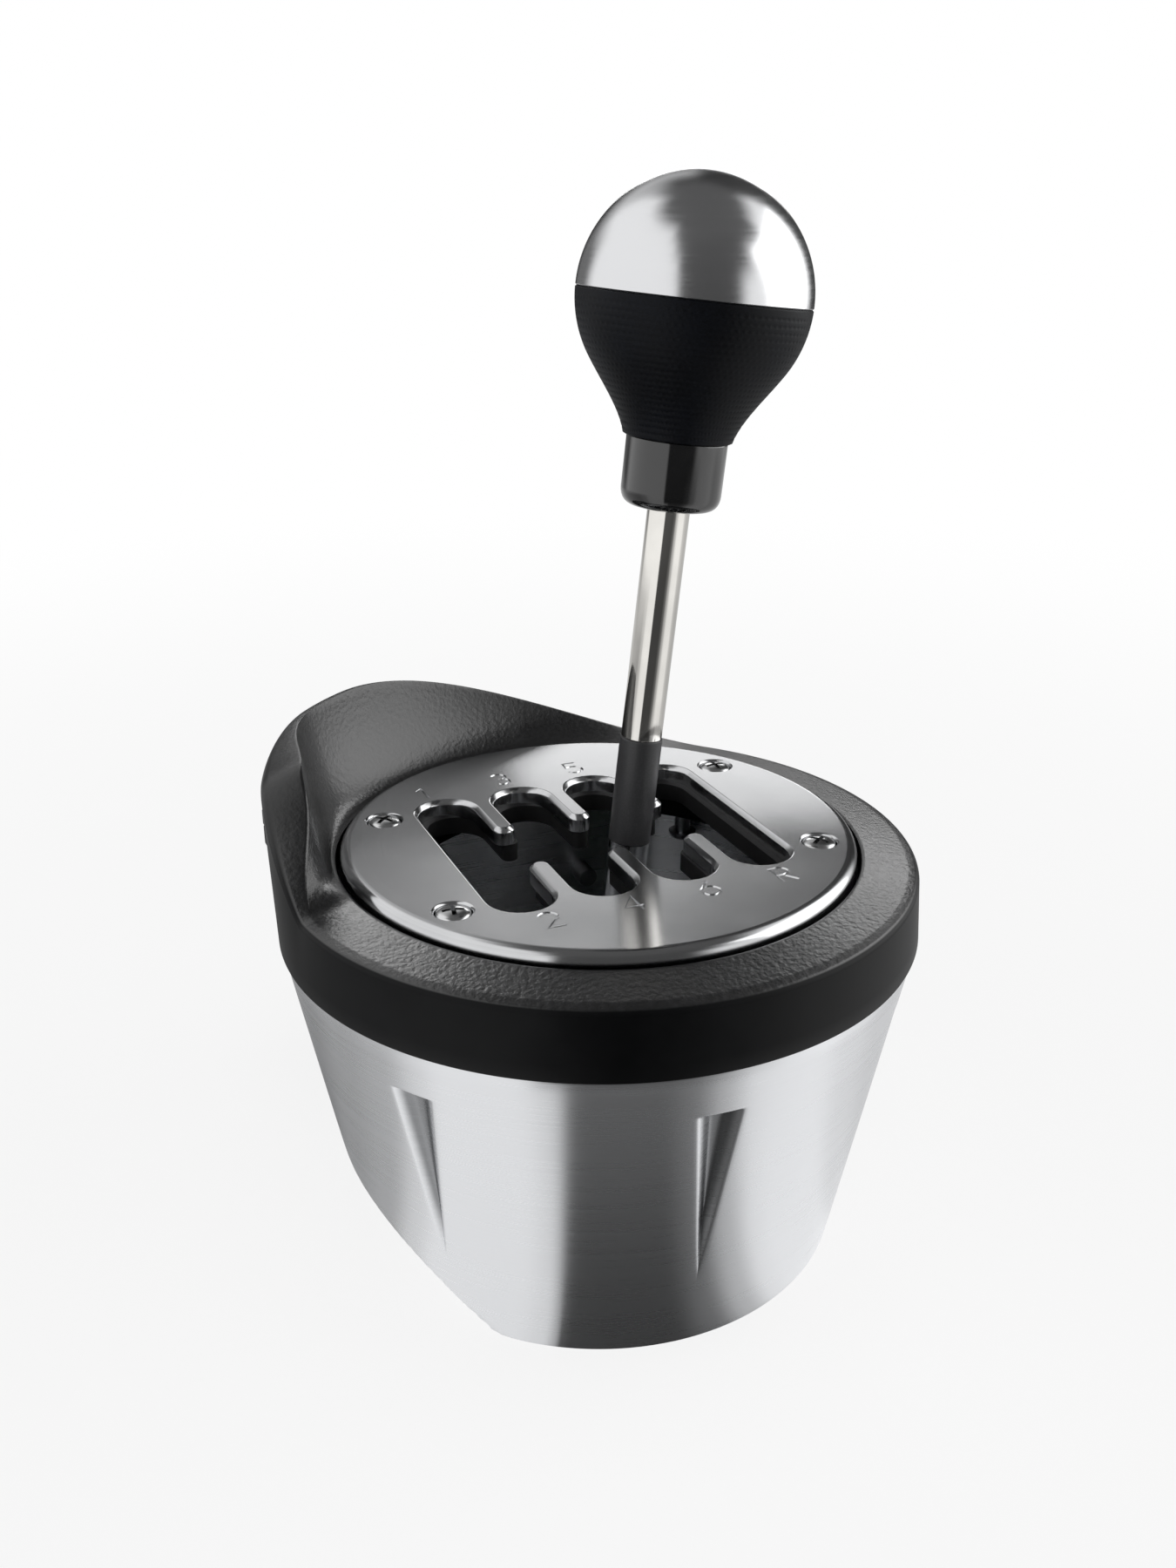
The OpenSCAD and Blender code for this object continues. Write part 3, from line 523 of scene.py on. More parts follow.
def softMax(a, b, k):
    return (a + b + math.sqrt((a - b) ** 2 + k * k)) / 2


# ring and hood: one section swept round the body, its height set by the angle
hood = {"bandR": 70, "recessR": 56.8, "lipZ": 91.5, "lipW": 0.8, "lipEdge": 0.5, "lipIn": 0.45, "shoulderZ": 90.2,
        "height": 24, "rightRise": (42, 126), "leftFall": (164, 187), "soften": 0.2, "ease": 0.36,
        "endIn": (138, 166), "endOut": (172, 188), "draft": 0.8, "flare": 1.2, "edgeR": 1.6, "edgeW": 2.4, "endW": 6.4,
        "endPull": 0.8, "topFall": 0.3, "endFall": 2.6, "endR": 3.4, "wallFoot": 3, "hollowRise": 0.8,
        "crestBreak": 0.8, "breakShare": 0.4, "foot": 75, "footEdge": 0.5, "edgeCut": 0.15, "skirt": 1, "deckZ": 86,
        "deckLow": 80, "deckR": 44, "bends": 22, "edgeSteps": 10, "columns": 240}
grainOn = {"deck": 0.2, "lipLow": 0.3, "lip": 0.5, "slope": 1.0, "endSlope": 0.5, "band": 0.12, "endBand": 0.4,
           "foot": 0.1, "run": 2.5}


def between(a, span):
    return smooth((a - span[0]) / (span[1] - span[0]))


# the left end is cut off by a slope that starts softly and is nearly flat
def hoodShare(a):
    (start, end), ease = hood["leftFall"], hood["ease"]
    fall = min(max((a - start) / (end - start), 0), 1)
    fall = (fall * fall / (2 * ease) if fall < ease else fall - ease / 2) / (1 - ease / 2)
    return between(a, hood["rightRise"]) * (1 - mix(fall, smooth(fall), hood["soften"]))


def endShare(a):
    return between(a, hood["endIn"]) * (1 - between(a, hood["endOut"]))


# points of (radius, height, grain) from the deck over the crest to the foot
def hoodSection(share, end):
    edgeR = mix(hood["edgeR"], hood["endR"], end)  # the broad left end falls outwards and is rounder
    bandR, lipZ, foot, inner = hood["bandR"], hood["lipZ"], hood["foot"], hood["recessR"]
    deckR, deckZ, deckLow, skirtR = hood["deckR"], hood["deckZ"], hood["deckLow"], inner - hood["skirt"]
    onDeck, onSlope, lipEdge, footEdge = grainOn["deck"], grainOn["slope"], hood["lipEdge"], hood["footEdge"]
    cut, wallR = hood["edgeCut"], bandR - hood["draft"] * (1 - share) + hood["flare"] * share
    lip = Vector((inner + hood["lipW"], lipZ))
    crest = Vector((wallR - hood["edgeW"] - hood["endW"] * end, hood["shoulderZ"] + hood["height"] * share))
    brow = Vector((wallR - edgeR, crest.y - mix(hood["topFall"], hood["endFall"], end)))
    hollowR = bandR - hood["edgeW"] - hood["wallFoot"] - hood["endPull"] * hood["endW"] * end
    hollow = Vector((hollowR, lipZ + hood["hollowRise"]))
    knee = ((lip + crest) / 2).lerp(hollow, min(1, 2 * share))
    fine = mix(onSlope, grainOn["endSlope"], end)
    points = [(deckR, deckLow, onDeck), (deckR, deckZ, onDeck), (inner, deckZ, onDeck), (inner, lipZ - lipEdge, onDeck),
              (inner + cut, lipZ - cut, grainOn["lipLow"]), (inner + hood["lipIn"], lipZ, grainOn["lip"])]
    face = [bend(lip, knee, crest, i / hood["bends"]) for i in range(hood["bends"])]
    points += [(p.x, p.y, onSlope) for p in face]
    reach = min(hood["crestBreak"], hood["breakShare"] * (brow - crest).length)  # the crest's inner edge is broken
    start = crest + (face[-1] - crest).normalized() * reach
    over = crest + (brow - crest).normalized() * reach
    for t in (0.0, 0.33, 0.67, 1.0):
        p = bend(start, crest, over, t)
        points.append((p.x, p.y, mix(onSlope, fine, t)))
    tip = math.radians(90) - math.atan2(over.y - brow.y, brow.x - over.x)  # the edge begins along the face
    onBand = mix(grainOn["band"], grainOn["endBand"], end)
    for i in range(hood["edgeSteps"] + 1):
        t = i / hood["edgeSteps"]
        a = mix(tip, 0, t)
        grain = mix(fine, onBand, min(1, grainOn["run"] * t))
        points.append((brow.x + edgeR * math.cos(a), brow.y - edgeR * (1 - math.sin(a)), grain))
    low = points[-1]
    for t in (0.25, 0.5, 0.75):
        points.append((mix(low[0], bandR, t), mix(low[1], foot + footEdge, t), grainOn["band"]))
    foots = [(bandR, foot + footEdge), (bandR - cut, foot + cut), (bandR - footEdge, foot), (skirtR, foot),
             (skirtR, deckLow)]
    return points + [(r, z, grainOn["foot"]) for r, z in foots]


def makeHood():
    angles = [360 * i / hood["columns"] for i in range(hood["columns"])]
    sections = [hoodSection(hoodShare(a), endShare(a)) for a in angles]
    verts, grain = [], []
    for a, section in zip(angles, sections):
        for r, z, g in section:
            verts.append(Vector((*polar(r, a), z)) * mm)
            grain.append(g)
    piece = newPiece("hoodRing", verts, gridFaces(len(angles), len(sections[0])))
    mark(piece.data, "grain", grain)
    tidyMesh(piece)
    softShade(piece, 40)
    return standFor(piece, "upper_housing")


ringPiece = makeHood()
print("ring and hood made")

# bucket: a fine grid around the axis whose lines follow the flutes
bucket = {"h": 75, "rimR": 69.4, "footR": 55.2, "wall": 3, "bevelLeft": 40.2, "bevelRight": 45, "bevelAngle": 48,
          "backY": 56, "edge": 1.2, "footEdge": 0.9, "rimEdge": 0.6, "strip": 72.4, "fluteTop": 64.5, "fluteL": 46,
          "fluteW": 9.4, "fluteDepth": 2.2, "fluteStep": 52, "fluteTurn": 3.7, "endRun": 0.9, "floorShare": 0.3,
          "floorEnd": 0.64, "floorRise": 0.3, "zone": 13.0, "tipHalf": 0.12, "lineStep": 1.2,
          "grazing": 0.05, "socketGap": 0.2, "doorX": 80}
# widths over which the bucket's faces run into each other
soft = {"strip": 0.3, "floor": 0.25, "end": 0.3, "lip": 0.16, "least": 0.05}
bevelRun = 1 / math.tan(math.radians(bucket["bevelAngle"]))
lean = math.atan((bucket["rimR"] - bucket["footR"]) / bucket["h"])
fluteTip = bucket["fluteTop"] - bucket["fluteL"] * math.cos(lean)
fluteAngles = [k * bucket["fluteStep"] - bucket["fluteTurn"] - 90 for k in (-1, 0, 1)]


def coneR(z):
    z = softMin(z, bucket["strip"], soft["strip"])  # a narrow strip under the band stands upright
    return bucket["footR"] + (bucket["rimR"] - bucket["footR"]) * z / bucket["h"]


def fluteHalf(z):
    share = (z - fluteTip) / (bucket["fluteTop"] - fluteTip)
    return max(bucket["tipHalf"], bucket["fluteW"] / 2 * min(max(share, 0), 1))


def fluteDepth(x, z):
    s = (bucket["fluteTop"] - z) / (bucket["fluteTop"] - fluteTip)
    if s < -0.03 or s > 1.02:
        return 0.0
    outer = bucket["fluteW"] / 2 * max(1 - s, 0.001)
    ended = bucket["floorEnd"]
    if s < ended:
        deep = bucket["fluteDepth"] * (1 - bucket["floorRise"] * max(s, 0) / ended)
        floor = bucket["fluteW"] / 2 * bucket["floorShare"] * (1 - s / ended)
    else:
        deep = bucket["fluteDepth"] * (1 - bucket["floorRise"]) * max(1 - s, 0) / (1 - ended)
        floor = 0.0
    side = deep * (outer - abs(x)) / max(outer - floor, soft["least"])
    end = (bucket["fluteTop"] - z) * bucket["fluteDepth"] / bucket["endRun"]
    raw = softMin(softMin(side, deep, soft["floor"]), end, soft["end"])
    return softMax(raw, 0.0, soft["lip"])


def bucketR(angle, z, inset=0.0):
    c, s = math.cos(angle), math.sin(angle)
    r = coneR(z) - inset
    bevel = z * bevelRun - inset * math.hypot(1, bevelRun)
    if c < -bucket["grazing"]:
        r = softMin(r, (bucket["bevelLeft"] + bevel) / -c, bucket["edge"])
    if c > bucket["grazing"]:
        r = softMin(r, (bucket["bevelRight"] + bevel) / c, bucket["edge"])
    if s > bucket["grazing"]:
        r = softMin(r, (bucket["backY"] - inset) / s, bucket["edge"])
    return r


# how far an edge of radius r stands back at a depth into its rounding
def roundOver(r, depth):
    return r - math.sqrt(max(r * r - depth * depth, 0)) if depth > 0 else 0.0


# upright lines as (flute index, place across it) or (None, degrees)
def bucketLines():
    lines = []
    steps = [-2 + 0.2 * i for i in range(5)]
    steps += [-1.1, -1.04, -1, -0.95, -0.86, -0.72, -0.58, -0.45, -0.36, -0.3, -0.24, -0.12]
    across = steps + [0] + [-u for u in reversed(steps)]
    for k, centre in enumerate(fluteAngles):
        lines += [(k, u) for u in across]
        start = centre + bucket["zone"]
        end = (fluteAngles[k + 1] if k < 2 else fluteAngles[0] + 360) - bucket["zone"]
        count = max(2, round((end - start) / bucket["lineStep"]))
        lines += [(None, start + (end - start) * i / count) for i in range(1, count)]
    return lines


def makeBucket():
    edge = bucket["fluteTop"]
    rows = [0.0, 0.12, 0.45, 0.9] + [1.5 + i for i in range(int(edge) - 2)]
    rows += [edge + d for d in (-0.8, -0.6, -0.4, -0.2, 0, 0.2, 0.4)]
    rows += [edge + 1 + 1.2 * i for i in range(7)] + [73.3, 74.0, 74.4, 74.7, 74.9, 75.0]
    innerRows = [75.0, 60.0, 40.0, 20.0, 0.0]
    lines = bucketLines()
    verts, deep = [], []

    def addPoint(r, a, z, depth):
        verts.append(Vector((r * math.cos(a), r * math.sin(a), z)) * mm)
        deep.append(depth / bucket["fluteDepth"])

    for z in rows:
        trim = roundOver(bucket["footEdge"], bucket["footEdge"] - z)
        trim += roundOver(bucket["rimEdge"], z - (bucket["h"] - bucket["rimEdge"]))
        for k, u in lines:
            if k is None:
                a, depth = math.radians(u), 0.0
            else:
                half = math.degrees(fluteHalf(z) / coneR(z))
                off = half * abs(u) if abs(u) <= 1 else mix(half, bucket["zone"], abs(u) - 1)
                a = math.radians(fluteAngles[k] + math.copysign(off, u))
                depth = fluteDepth(math.radians(off) * coneR(z), z)
            addPoint(bucketR(a, z) - depth / math.cos(lean) - trim, a, z, depth)
    for z in innerRows:
        for k, u in lines:
            a = math.radians(u if k is None else fluteAngles[k] + u / 2 * bucket["zone"])
            addPoint(bucketR(a, z, bucket["wall"]), a, z, 0.0)
    piece = newPiece("bucketShell", verts, gridFaces(len(rows) + len(innerRows), len(lines)))
    # "deep" holds how far into a flute each point lies; the bucket's finish uses it to paint shade in the recesses
    mark(piece.data, "deep", deep)
    tidyMesh(piece)
    low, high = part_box("data_socket")
    grow, farX = bucket["socketGap"] * mm, bucket["doorX"] * mm
    door = newBox("socketDoor", (low.x, low.y - grow, low.z - grow), (farX, high.y + grow, high.z + grow))
    carve(piece, door)
    softShade(piece, 40)
    return standFor(piece, "lower_housing")


makeBucket()
print("bucket made")


# gate plate: slot outline at a growth g, walked the same way at every growth so that the loops join up
def slotOutline(g, steps=14):
    p, w = gate["pitch"], gate["slotW"] / 2 + g
    run = gate["reach"] - gate["slotW"] / 2
    tooth = (gate["pitch"] - gate["slotW"]) / 2
    mouth = gate["neutral"] + tooth
    columns = [-1.5 * p, -0.5 * p, 0.5 * p, 1.5 * p]
    points = []
    for i, x in enumerate(columns):
        points += arc(x, -run, w, 180, 360, steps)
        if i < 3:
            points += arc(x + p / 2, -mouth, tooth - g, 180, 0, steps)
    for i, x in enumerate(reversed(columns)):
        points += arc(x, run, w, 0, 180, steps)
        if i < 3:
            points += arc(x - p / 2, mouth, tooth - g, 0, -180, steps)
    return points


# strokes of the gear signs on a 4 by 6 grid, with arcs as ("arc", cx, cy, r, start, end)
signStrokes = {
    "1": [[(0.7, 4.6), (2.0, 6.0), (2.0, 0.0)]],
    "2": [[("arc", 2.0, 4.2, 1.8, 165, -35), (0.3, 0.0), (4.0, 0.0)]],
    "3": [[("arc", 2.0, 4.45, 1.55, 150, -80), (1.6, 2.95)], [(1.6, 2.95), ("arc", 2.0, 1.6, 1.6, 70, -150)]],
    "4": [[(3.1, 0.0), (3.1, 6.0), (0.1, 1.7), (4.1, 1.7)]],
    "5": [[(3.7, 6.0), (0.8, 6.0), (0.5, 3.3), ("arc", 2.0, 1.9, 1.9, 120, -150)]],
    "6": [[(3.1, 6.0), ("arc", 2.0, 1.9, 1.9, 165, 525)]],
    "7": [[(0.2, 6.0), (3.8, 6.0), (1.4, 0.0)]],
    "R": [[(0.4, 0.0), (0.4, 6.0), (2.2, 6.0), ("arc", 2.2, 4.45, 1.55, 90, -90), (0.4, 2.9)],
          [(1.8, 2.9), (3.9, 0.0)]],
}
signs = {"height": 6.2, "line": 0.42, "depth": 0.36, "arcStep": 22,
         "places": {"1": (-28.5, 35.0), "3": (-9.4, 36.2), "5": (9, 36.2), "7": (27.3, 35.8),
                    "2": (-25.4, -34.9), "4": (-8.2, -34.9), "6": (8.8, -34.9), "R": (25.8, -35.2)}}


def signCutter():
    drawing = bpy.data.curves.new("gearSigns", "CURVE")
    drawing.dimensions = "3D"
    drawing.bevel_depth = signs["line"] * mm
    drawing.bevel_resolution = 1
    drawing.use_fill_caps = True
    scale = signs["height"] / 6
    level = gate["top"] - signs["depth"] + signs["line"]
    for sign, (x, y) in signs["places"].items():
        for stroke in signStrokes[sign]:
            path = []
            for step in stroke:
                if step[0] == "arc":
                    path += arc(*step[1:], max(4, int(abs(step[5] - step[4]) / signs["arcStep"])))
                else:
                    path.append(step)
            spline = drawing.splines.new("POLY")
            spline.points.add(len(path) - 1)
            for point, (u, v) in zip(spline.points, path):
                point.co = ((x + (u - 2) * scale) * mm, (y + (v - 3) * scale) * mm, level * mm, 1)
    cutter = linked("gearSigns", drawing)
    mesh = finalMesh(cutter)
    bpy.data.objects.remove(cutter)
    mark(mesh, "polish", [1.0] * len(mesh.polygons), "FACE")
    return linked("gearSigns", mesh)


def inside(point, loop):
    found = False
    for a, b in zip(loop, loop[-1:] + loop[:-1]):
        if (a.y > point.y) != (b.y > point.y) and point.x < (b.x - a.x) * (point.y - a.y) / (b.y - a.y) + a.x:
            found = not found
    return found


# soft edges, but level faces stay flat
def flatShade(piece, level=0.9995):
    softShade(piece, 50)
    for face in piece.data.polygons:
        if abs(face.normal.z) > level:
            face.use_smooth = False


def makeGate():
    top, bottom = gate["top"], gate["top"] - gate["t"]
    verts, faces, polish = [], [], []

    def addLoop(points, z):
        start = len(verts)
        verts.extend((x, y, z) for x, y in points)
        return list(range(start, len(verts)))

    def bridge(a, b, shine):
        for i in range(len(a)):
            n = (i + 1) % len(a)
            faces.append([a[i], a[n], b[n], b[i]])
            polish.append(shine)

    def wallDown(levels):  # (outline, z, shine) from the top edge to the bottom edge
        loops = [addLoop(points, z) for points, z, _ in levels]
        for i in range(len(loops) - 1):
            bridge(loops[i], loops[i + 1], levels[i][2])
        return loops[0], loops[-1]

    r, e, low, steps = gate["d"] / 2, gate["round"], gate["lowEdge"], gate["rimSteps"]
    turns = [math.radians(90 * i / gate["roundSteps"]) for i in range(gate["roundSteps"] + 1)]
    rim = [(circle(r - e + e * math.sin(a), steps), top - e + e * math.cos(a), 1.0) for a in turns]
    rim += [(circle(r, steps), bottom + low, 0.4), (circle(r - low, steps), bottom, 0.0)]
    g = gate["chamfer"]
    # the chamfer is softly rounded at both its edges
    slot = [(slotOutline(g * k), top - g * d, 1.0) for k, d in
            [(1.12, 0.0), (1.0, 0.02), (0.86, 0.1), (0.14, 0.82), (0.03, 0.96), (0.0, 1.15)]]
    slot += [(slotOutline(0), bottom, 0.0)]
    loops = [wallDown(rim), wallDown(slot)]
    for a in gateAngles:
        h, place = gate["headHole"], polar(gate["screwR"], a)
        loops.append(wallDown([(circle(h + grow, gate["holeSteps"], *place), z, shine) for grow, z, shine in
                               [(0.5, top, 1.0), (0.12, top - 0.2, 1.0), (0, top - 0.6, 0.6), (0, bottom, 0.0)]]))
    for side in (0, 1):
        edgeLoops = [loop[side] for loop in loops]
        ids = [i for loop in edgeLoops for i in loop]
        local = {v: i for i, v in enumerate(ids)}
        edges = [(local[a], local[b]) for loop in edgeLoops for a, b in zip(loop, loop[1:] + loop[:1])]
        flat = [Vector(verts[i][:2]) for i in ids]
        _, _, cells, *_ = delaunay_2d_cdt(flat, edges, [], 1, 1e-5)
        holes = [[Vector(verts[i][:2]) for i in loop] for loop in edgeLoops[1:]]
        for cell in cells:
            middle = sum((flat[i] for i in cell), Vector((0, 0))) / 3
            if any(inside(middle, hole) for hole in holes):
                continue
            faces.append([ids[i] for i in cell])
            polish.append(0.0)
    piece = newPiece("gateFace", [Vector(v) * mm for v in verts], faces)
    mark(piece.data, "polish", polish, "FACE")
    tidyMesh(piece)
    carve(piece, signCutter())
    flatShade(piece)
    return standFor(piece, "gate_plate")


makeGate()
print("gate plate made")

# lever and knob: turned pieces along the lever
knob = {"capSteps": 40, "capSides": 128, "capBore": 9, "seam": 0.25, "capEdge": 0.8, "capLift": 0.06, "capStart": 0.8,
        "ball": 0.534, "neckSlope": 0.25, "neckEdge": 0.3, "dimplePitch": 1.35, "dimpleDepth": 0.11, "dimpleR": 0.36,
        "dimplesAround": 96.0, "around": 300, "along": 150}
ballDepth = lever["knobR"] * knob["ball"]
ballEdge = math.sqrt(lever["knobR"] ** 2 - ballDepth ** 2)


def gripR(d):
    if d < ballDepth:
        return math.sqrt(lever["knobR"] ** 2 - d * d)
    span = lever["gripL"] - ballDepth
    t = (d - ballDepth) / span
    return (ballEdge * (1 - 3 * t * t + 2 * t ** 3) + span * (-ballDepth / ballEdge) * t * (1 - t) ** 2
            + lever["neckR"] * t * t * (3 - 2 * t) + span * knob["neckSlope"] * t * t * (1 - t))


def makeCap():
    r, bore, steps, deep = lever["knobR"], lever["insertR"], knob["capSteps"], equator + knob["capBore"]
    profile = [(bore, deep), (bore, equator), (r - knob["capEdge"], equator),
               (r - knob["seam"], equator + knob["capLift"])]
    for i in range(steps + 1):
        a = math.radians(mix(knob["capStart"], 90, i / steps))
        profile.append((r * math.cos(a) if i < steps else 0, equator + r * math.sin(a)))
    profile.append((0, deep))
    return standFor(turned("knobDome", profile, knob["capSides"], onLever), "knob_cap")


# rows of small dimples pressed into the grip, each row half a step on from the last
def dimpled(piece, total):
    work = SizedTree("gripDimples", {
        "Pitch": knob["dimplePitch"], "Depth": knob["dimpleDepth"], "Radius": knob["dimpleR"],
        "Around": knob["dimplesAround"], "Length": total,
    })
    wire = work.wire
    along = work.node("GeometryNodeInputNamedAttribute", {"data_type": "FLOAT"}, {"Name": "alongGrip"})
    place = work.node("GeometryNodeInputPosition")
    x, y = [work.node("ShaderNodeSeparateXYZ", {}, {0: place}, out=i) for i in (0, 1)]
    radius = x.calc("SQRT", x * x + y * y) * 1000
    angle = x.calc("ARCTAN2", y, x)
    row = along / wire["Pitch"]
    rowIndex = row.calc("FLOOR", row)
    column = angle / (2 * math.pi) * wire["Around"] + rowIndex * 0.5
    acrossOff = (column - column.calc("FLOOR", column) - 0.5) * (radius * (2 * math.pi)) / wire["Around"]
    alongOff = (row - rowIndex - 0.5) * wire["Pitch"]
    away = x.calc("SQRT", acrossOff * acrossOff + alongOff * alongOff)
    pressed = (away / wire["Radius"]).fade(0.35, 1.25, 1.0, 0.0)
    bounds = along.fade(0.9, 1.2) * (wire["Length"] - along).fade(0.9, 1.2)
    normal = work.node("GeometryNodeInputNormal")
    shift = pressed * bounds * wire["Depth"] * -mm
    offset = work.node("ShaderNodeVectorMath", {"operation": "SCALE"}, {0: normal, "Scale": shift})
    moved = work.node("GeometryNodeSetPosition", {}, {"Geometry": wire["Geometry"], "Offset": offset})
    work.run(piece, moved, finishes["grip"])


def makeGrip():
    length, steps, bore = lever["gripL"], knob["along"], lever["insertR"]
    outer = []
    for i in range(steps + 1):
        d = length * i / steps
        outer.append((gripR(d), equator - d))
    outer[0] = (outer[0][0] - knob["seam"], outer[0][1])
    outer[-1] = (outer[-1][0] - knob["neckEdge"], outer[-1][1])
    piece = turned("knobGrip", [(bore, equator - length), (bore, equator)] + outer, knob["around"])
    walked = [0.0]
    for a, b in zip(outer, outer[1:]):
        walked.append(walked[-1] + math.dist(a, b))
    values = []
    for v in piece.data.vertices:
        d = min(max((equator - v.co.z / mm) / length, 0), 1) * steps
        values.append(walked[min(int(round(d)), steps)])
    mark(piece.data, "alongGrip", values)
    dimpled(piece, max(v.value for v in piece.data.attributes["alongGrip"].data))
    piece.data.transform(onLever)
    softShade(piece, 60)
    return standFor(piece, "knob_grip")


def makeLever():
    rodR, fit, spigotR, sleeveR = lever["rodR"], lever["fit"], lever["spigotR"], lever["sleeveR"]
    high, collarR = equator - lever["gripL"], lever["collarR"]
    low, boreR = high - lever["collarL"], rodR + fit
    collar = rounded([(boreR, low), (collarR, low), (collarR, high), (boreR, high)],
                     [0.3, lever["collarRound"], 0.4, 0], 8)
    standFor(turned("gripCollar", collar, 128, onLever), "knob_collar")
    rodEnd, sleeveHi, sleeveLo = equator - lever["rodIn"], gateDist + lever["sleeveTop"], gateDist - lever["sleeveDrop"]
    rodLow = sleeveHi - lever["spigotL"]
    rod = rounded([(0, rodEnd), (0, rodLow), (spigotR, rodLow), (spigotR, sleeveHi), (rodR, sleeveHi), (rodR, rodEnd)],
                  [0, 0, 0.2, 0, 0.25, 0.4])
    standFor(turned("chromeRod", rod, 96, onLever), "lever_rod")
    tubeR, edge = spigotR + fit, lever["sleeveRound"]
    sleeve = rounded([(tubeR, sleeveLo), (sleeveR, sleeveLo), (sleeveR, sleeveHi), (tubeR, sleeveHi)],
                     [0, edge, edge, 0])
    standFor(turned("sleeveTube", sleeve, 96, onLever), "lever_sleeve")
    print("lever turned, equator at", round(equator, 2))


makeLever()
makeCap()
makeGrip()
print("knob made")


plainEdge = {"segments": 2, "angle": 34, "merge": 2e-6, "flat": 0.6}


# copies of CAD solids with their edges broken, for the plainer pieces
def softened(node, width, name):
    piece = linked(name, nodes[node].data.copy())
    form = bmesh.new()
    form.from_mesh(piece.data)
    bmesh.ops.remove_doubles(form, verts=form.verts, dist=plainEdge["merge"])
    bmesh.ops.dissolve_limit(form, angle_limit=math.radians(plainEdge["flat"]), verts=form.verts, edges=form.edges)
    form.to_mesh(piece.data)
    form.free()
    for layer in [a.name for a in piece.data.attributes if a.name == "custom_normal"]:
        piece.data.attributes.remove(piece.data.attributes[layer])
    edge = piece.modifiers.new("edge", "BEVEL")
    edge.width = width * mm
    edge.segments = plainEdge["segments"]
    edge.limit_method = "ANGLE"
    edge.angle_limit = math.radians(plainEdge["angle"])
    edge.use_clamp_overlap = True
    baked(piece)
    softShade(piece, 30)
    return standFor(piece, node)


plainPieces = {
    "clamp_bracket": (0.7, "clampBracket"), "lower_jaw": (0.8, "lowerJaw"), "jaw_pad": (0.8, "upperPad"),
    "lower_jaw_pad": (0.6, "lowerPad"), "left_clamp_knob": (0.7, "leftHandwheel"),
    "right_clamp_knob": (0.7, "rightHandwheel"), "base_plate": (0.4, "basePlate"), "jaw_nuts": (0.4, "jawNuts"),
    "data_socket": (0.25, "dataSocket"),
}
for plainNode, (edgeWidth, pieceName) in plainPieces.items():
    softened(plainNode, edgeWidth, pieceName)
print("plain pieces softened:", len(plainPieces))


# screws set by one geometry tree: a drawn screw on each point, turned to the point's direction
def setScrews(name, node, screw, points, facing, spin):
    holder = newPiece(name, points, [])
    aim = holder.data.attributes.new("facing", "FLOAT_VECTOR", "POINT")
    aim.data.foreach_set("vector", [c for f in facing for c in f])
    work = SizedTree(name + "Tree", {"Size": 1.0, "Spin Step": spin})
    towards = work.node("GeometryNodeInputNamedAttribute", {"data_type": "FLOAT_VECTOR"}, {"Name": "facing"})
    turn = work.node("FunctionNodeAlignRotationToVector", {"axis": "Z"}, {"Vector": towards})
    angle = work.node("GeometryNodeInputIndex") * work.wire["Spin Step"]
    own = work.node("FunctionNodeAxisAngleToRotation", {}, {"Axis": (0, 0, 1), "Angle": angle})
    both = work.node("FunctionNodeRotateRotation", {"rotation_space": "LOCAL"}, {"Rotation": turn, "Rotate By": own})
    many = work.node("GeometryNodeInstanceOnPoints", {}, {
        "Points": work.wire["Geometry"], "Rotation": both,
        "Instance": work.node("GeometryNodeObjectInfo", {}, {"Object": screw}, out="Geometry"),
        "Scale": work.node("ShaderNodeCombineXYZ", {}, dict.fromkeys(range(3), work.wire["Size"])),
    })
    work.run(holder, many, finishes[slotOf[node]])
    bpy.data.objects.remove(screw)
    softShade(holder, 35)
    return standFor(holder, node)


# recesses as shares of the head's radius
recessSizes = {"deep": 0.55, "hexR": 0.5, "crossL": 0.62, "crossW": 0.13}


# a screw with its head's seat at z = 0 and its shank below: recess is "cross" or "hex"
def drawScrew(name, shankR, headR, headH, length, recess, flatHead=False):
    if flatHead:
        profile = rounded([(0, -length), (shankR, -length), (shankR, -headH), (headR, -0.25), (headR, 0), (0, 0)],
                          [0, 0.3, 0, 0, 0.15, 0], 3)
        top = 0.0
    else:
        turns = [math.radians(a) for a in range(0, 90, 10)]
        dome = [(headR * math.cos(a), headH * 0.35 + headH * 0.65 * math.sin(a)) for a in turns]
        shank = [(0, -length), (shankR - 0.3, -length), (shankR, -length + 0.3), (shankR, 0), (headR, 0)]
        profile = shank + dome + [(0, headH)]
        top = headH
    piece = turned(name, profile, 40)
    low, high = top - headR * recessSizes["deep"], top + 1
    if recess == "hex":
        carve(piece, newTool(name + "Key", 6, headR * recessSizes["hexR"], low, high))
    else:
        x, y = headR * recessSizes["crossL"] * mm, headR * recessSizes["crossW"] * mm
        for u, v in ((x, y), (y, x)):
            carve(piece, newBox(name + "Key", (-u, -v, low * mm), (u, v, high * mm)))
    return piece


def newTool(name, sides, r, low, high):
    verts = [Vector((x, y, z)) * mm for z in (low, high) for x, y in circle(r, sides)]
    faces = [list(range(sides))[::-1], list(range(sides, 2 * sides))]
    faces += [[i, (i + 1) % sides, sides + (i + 1) % sides, sides + i] for i in range(sides)]
    return newPiece(name, verts, faces)


def around(r, angles, z):
    return [Vector((*polar(r, a), z)) * mm for a in angles]


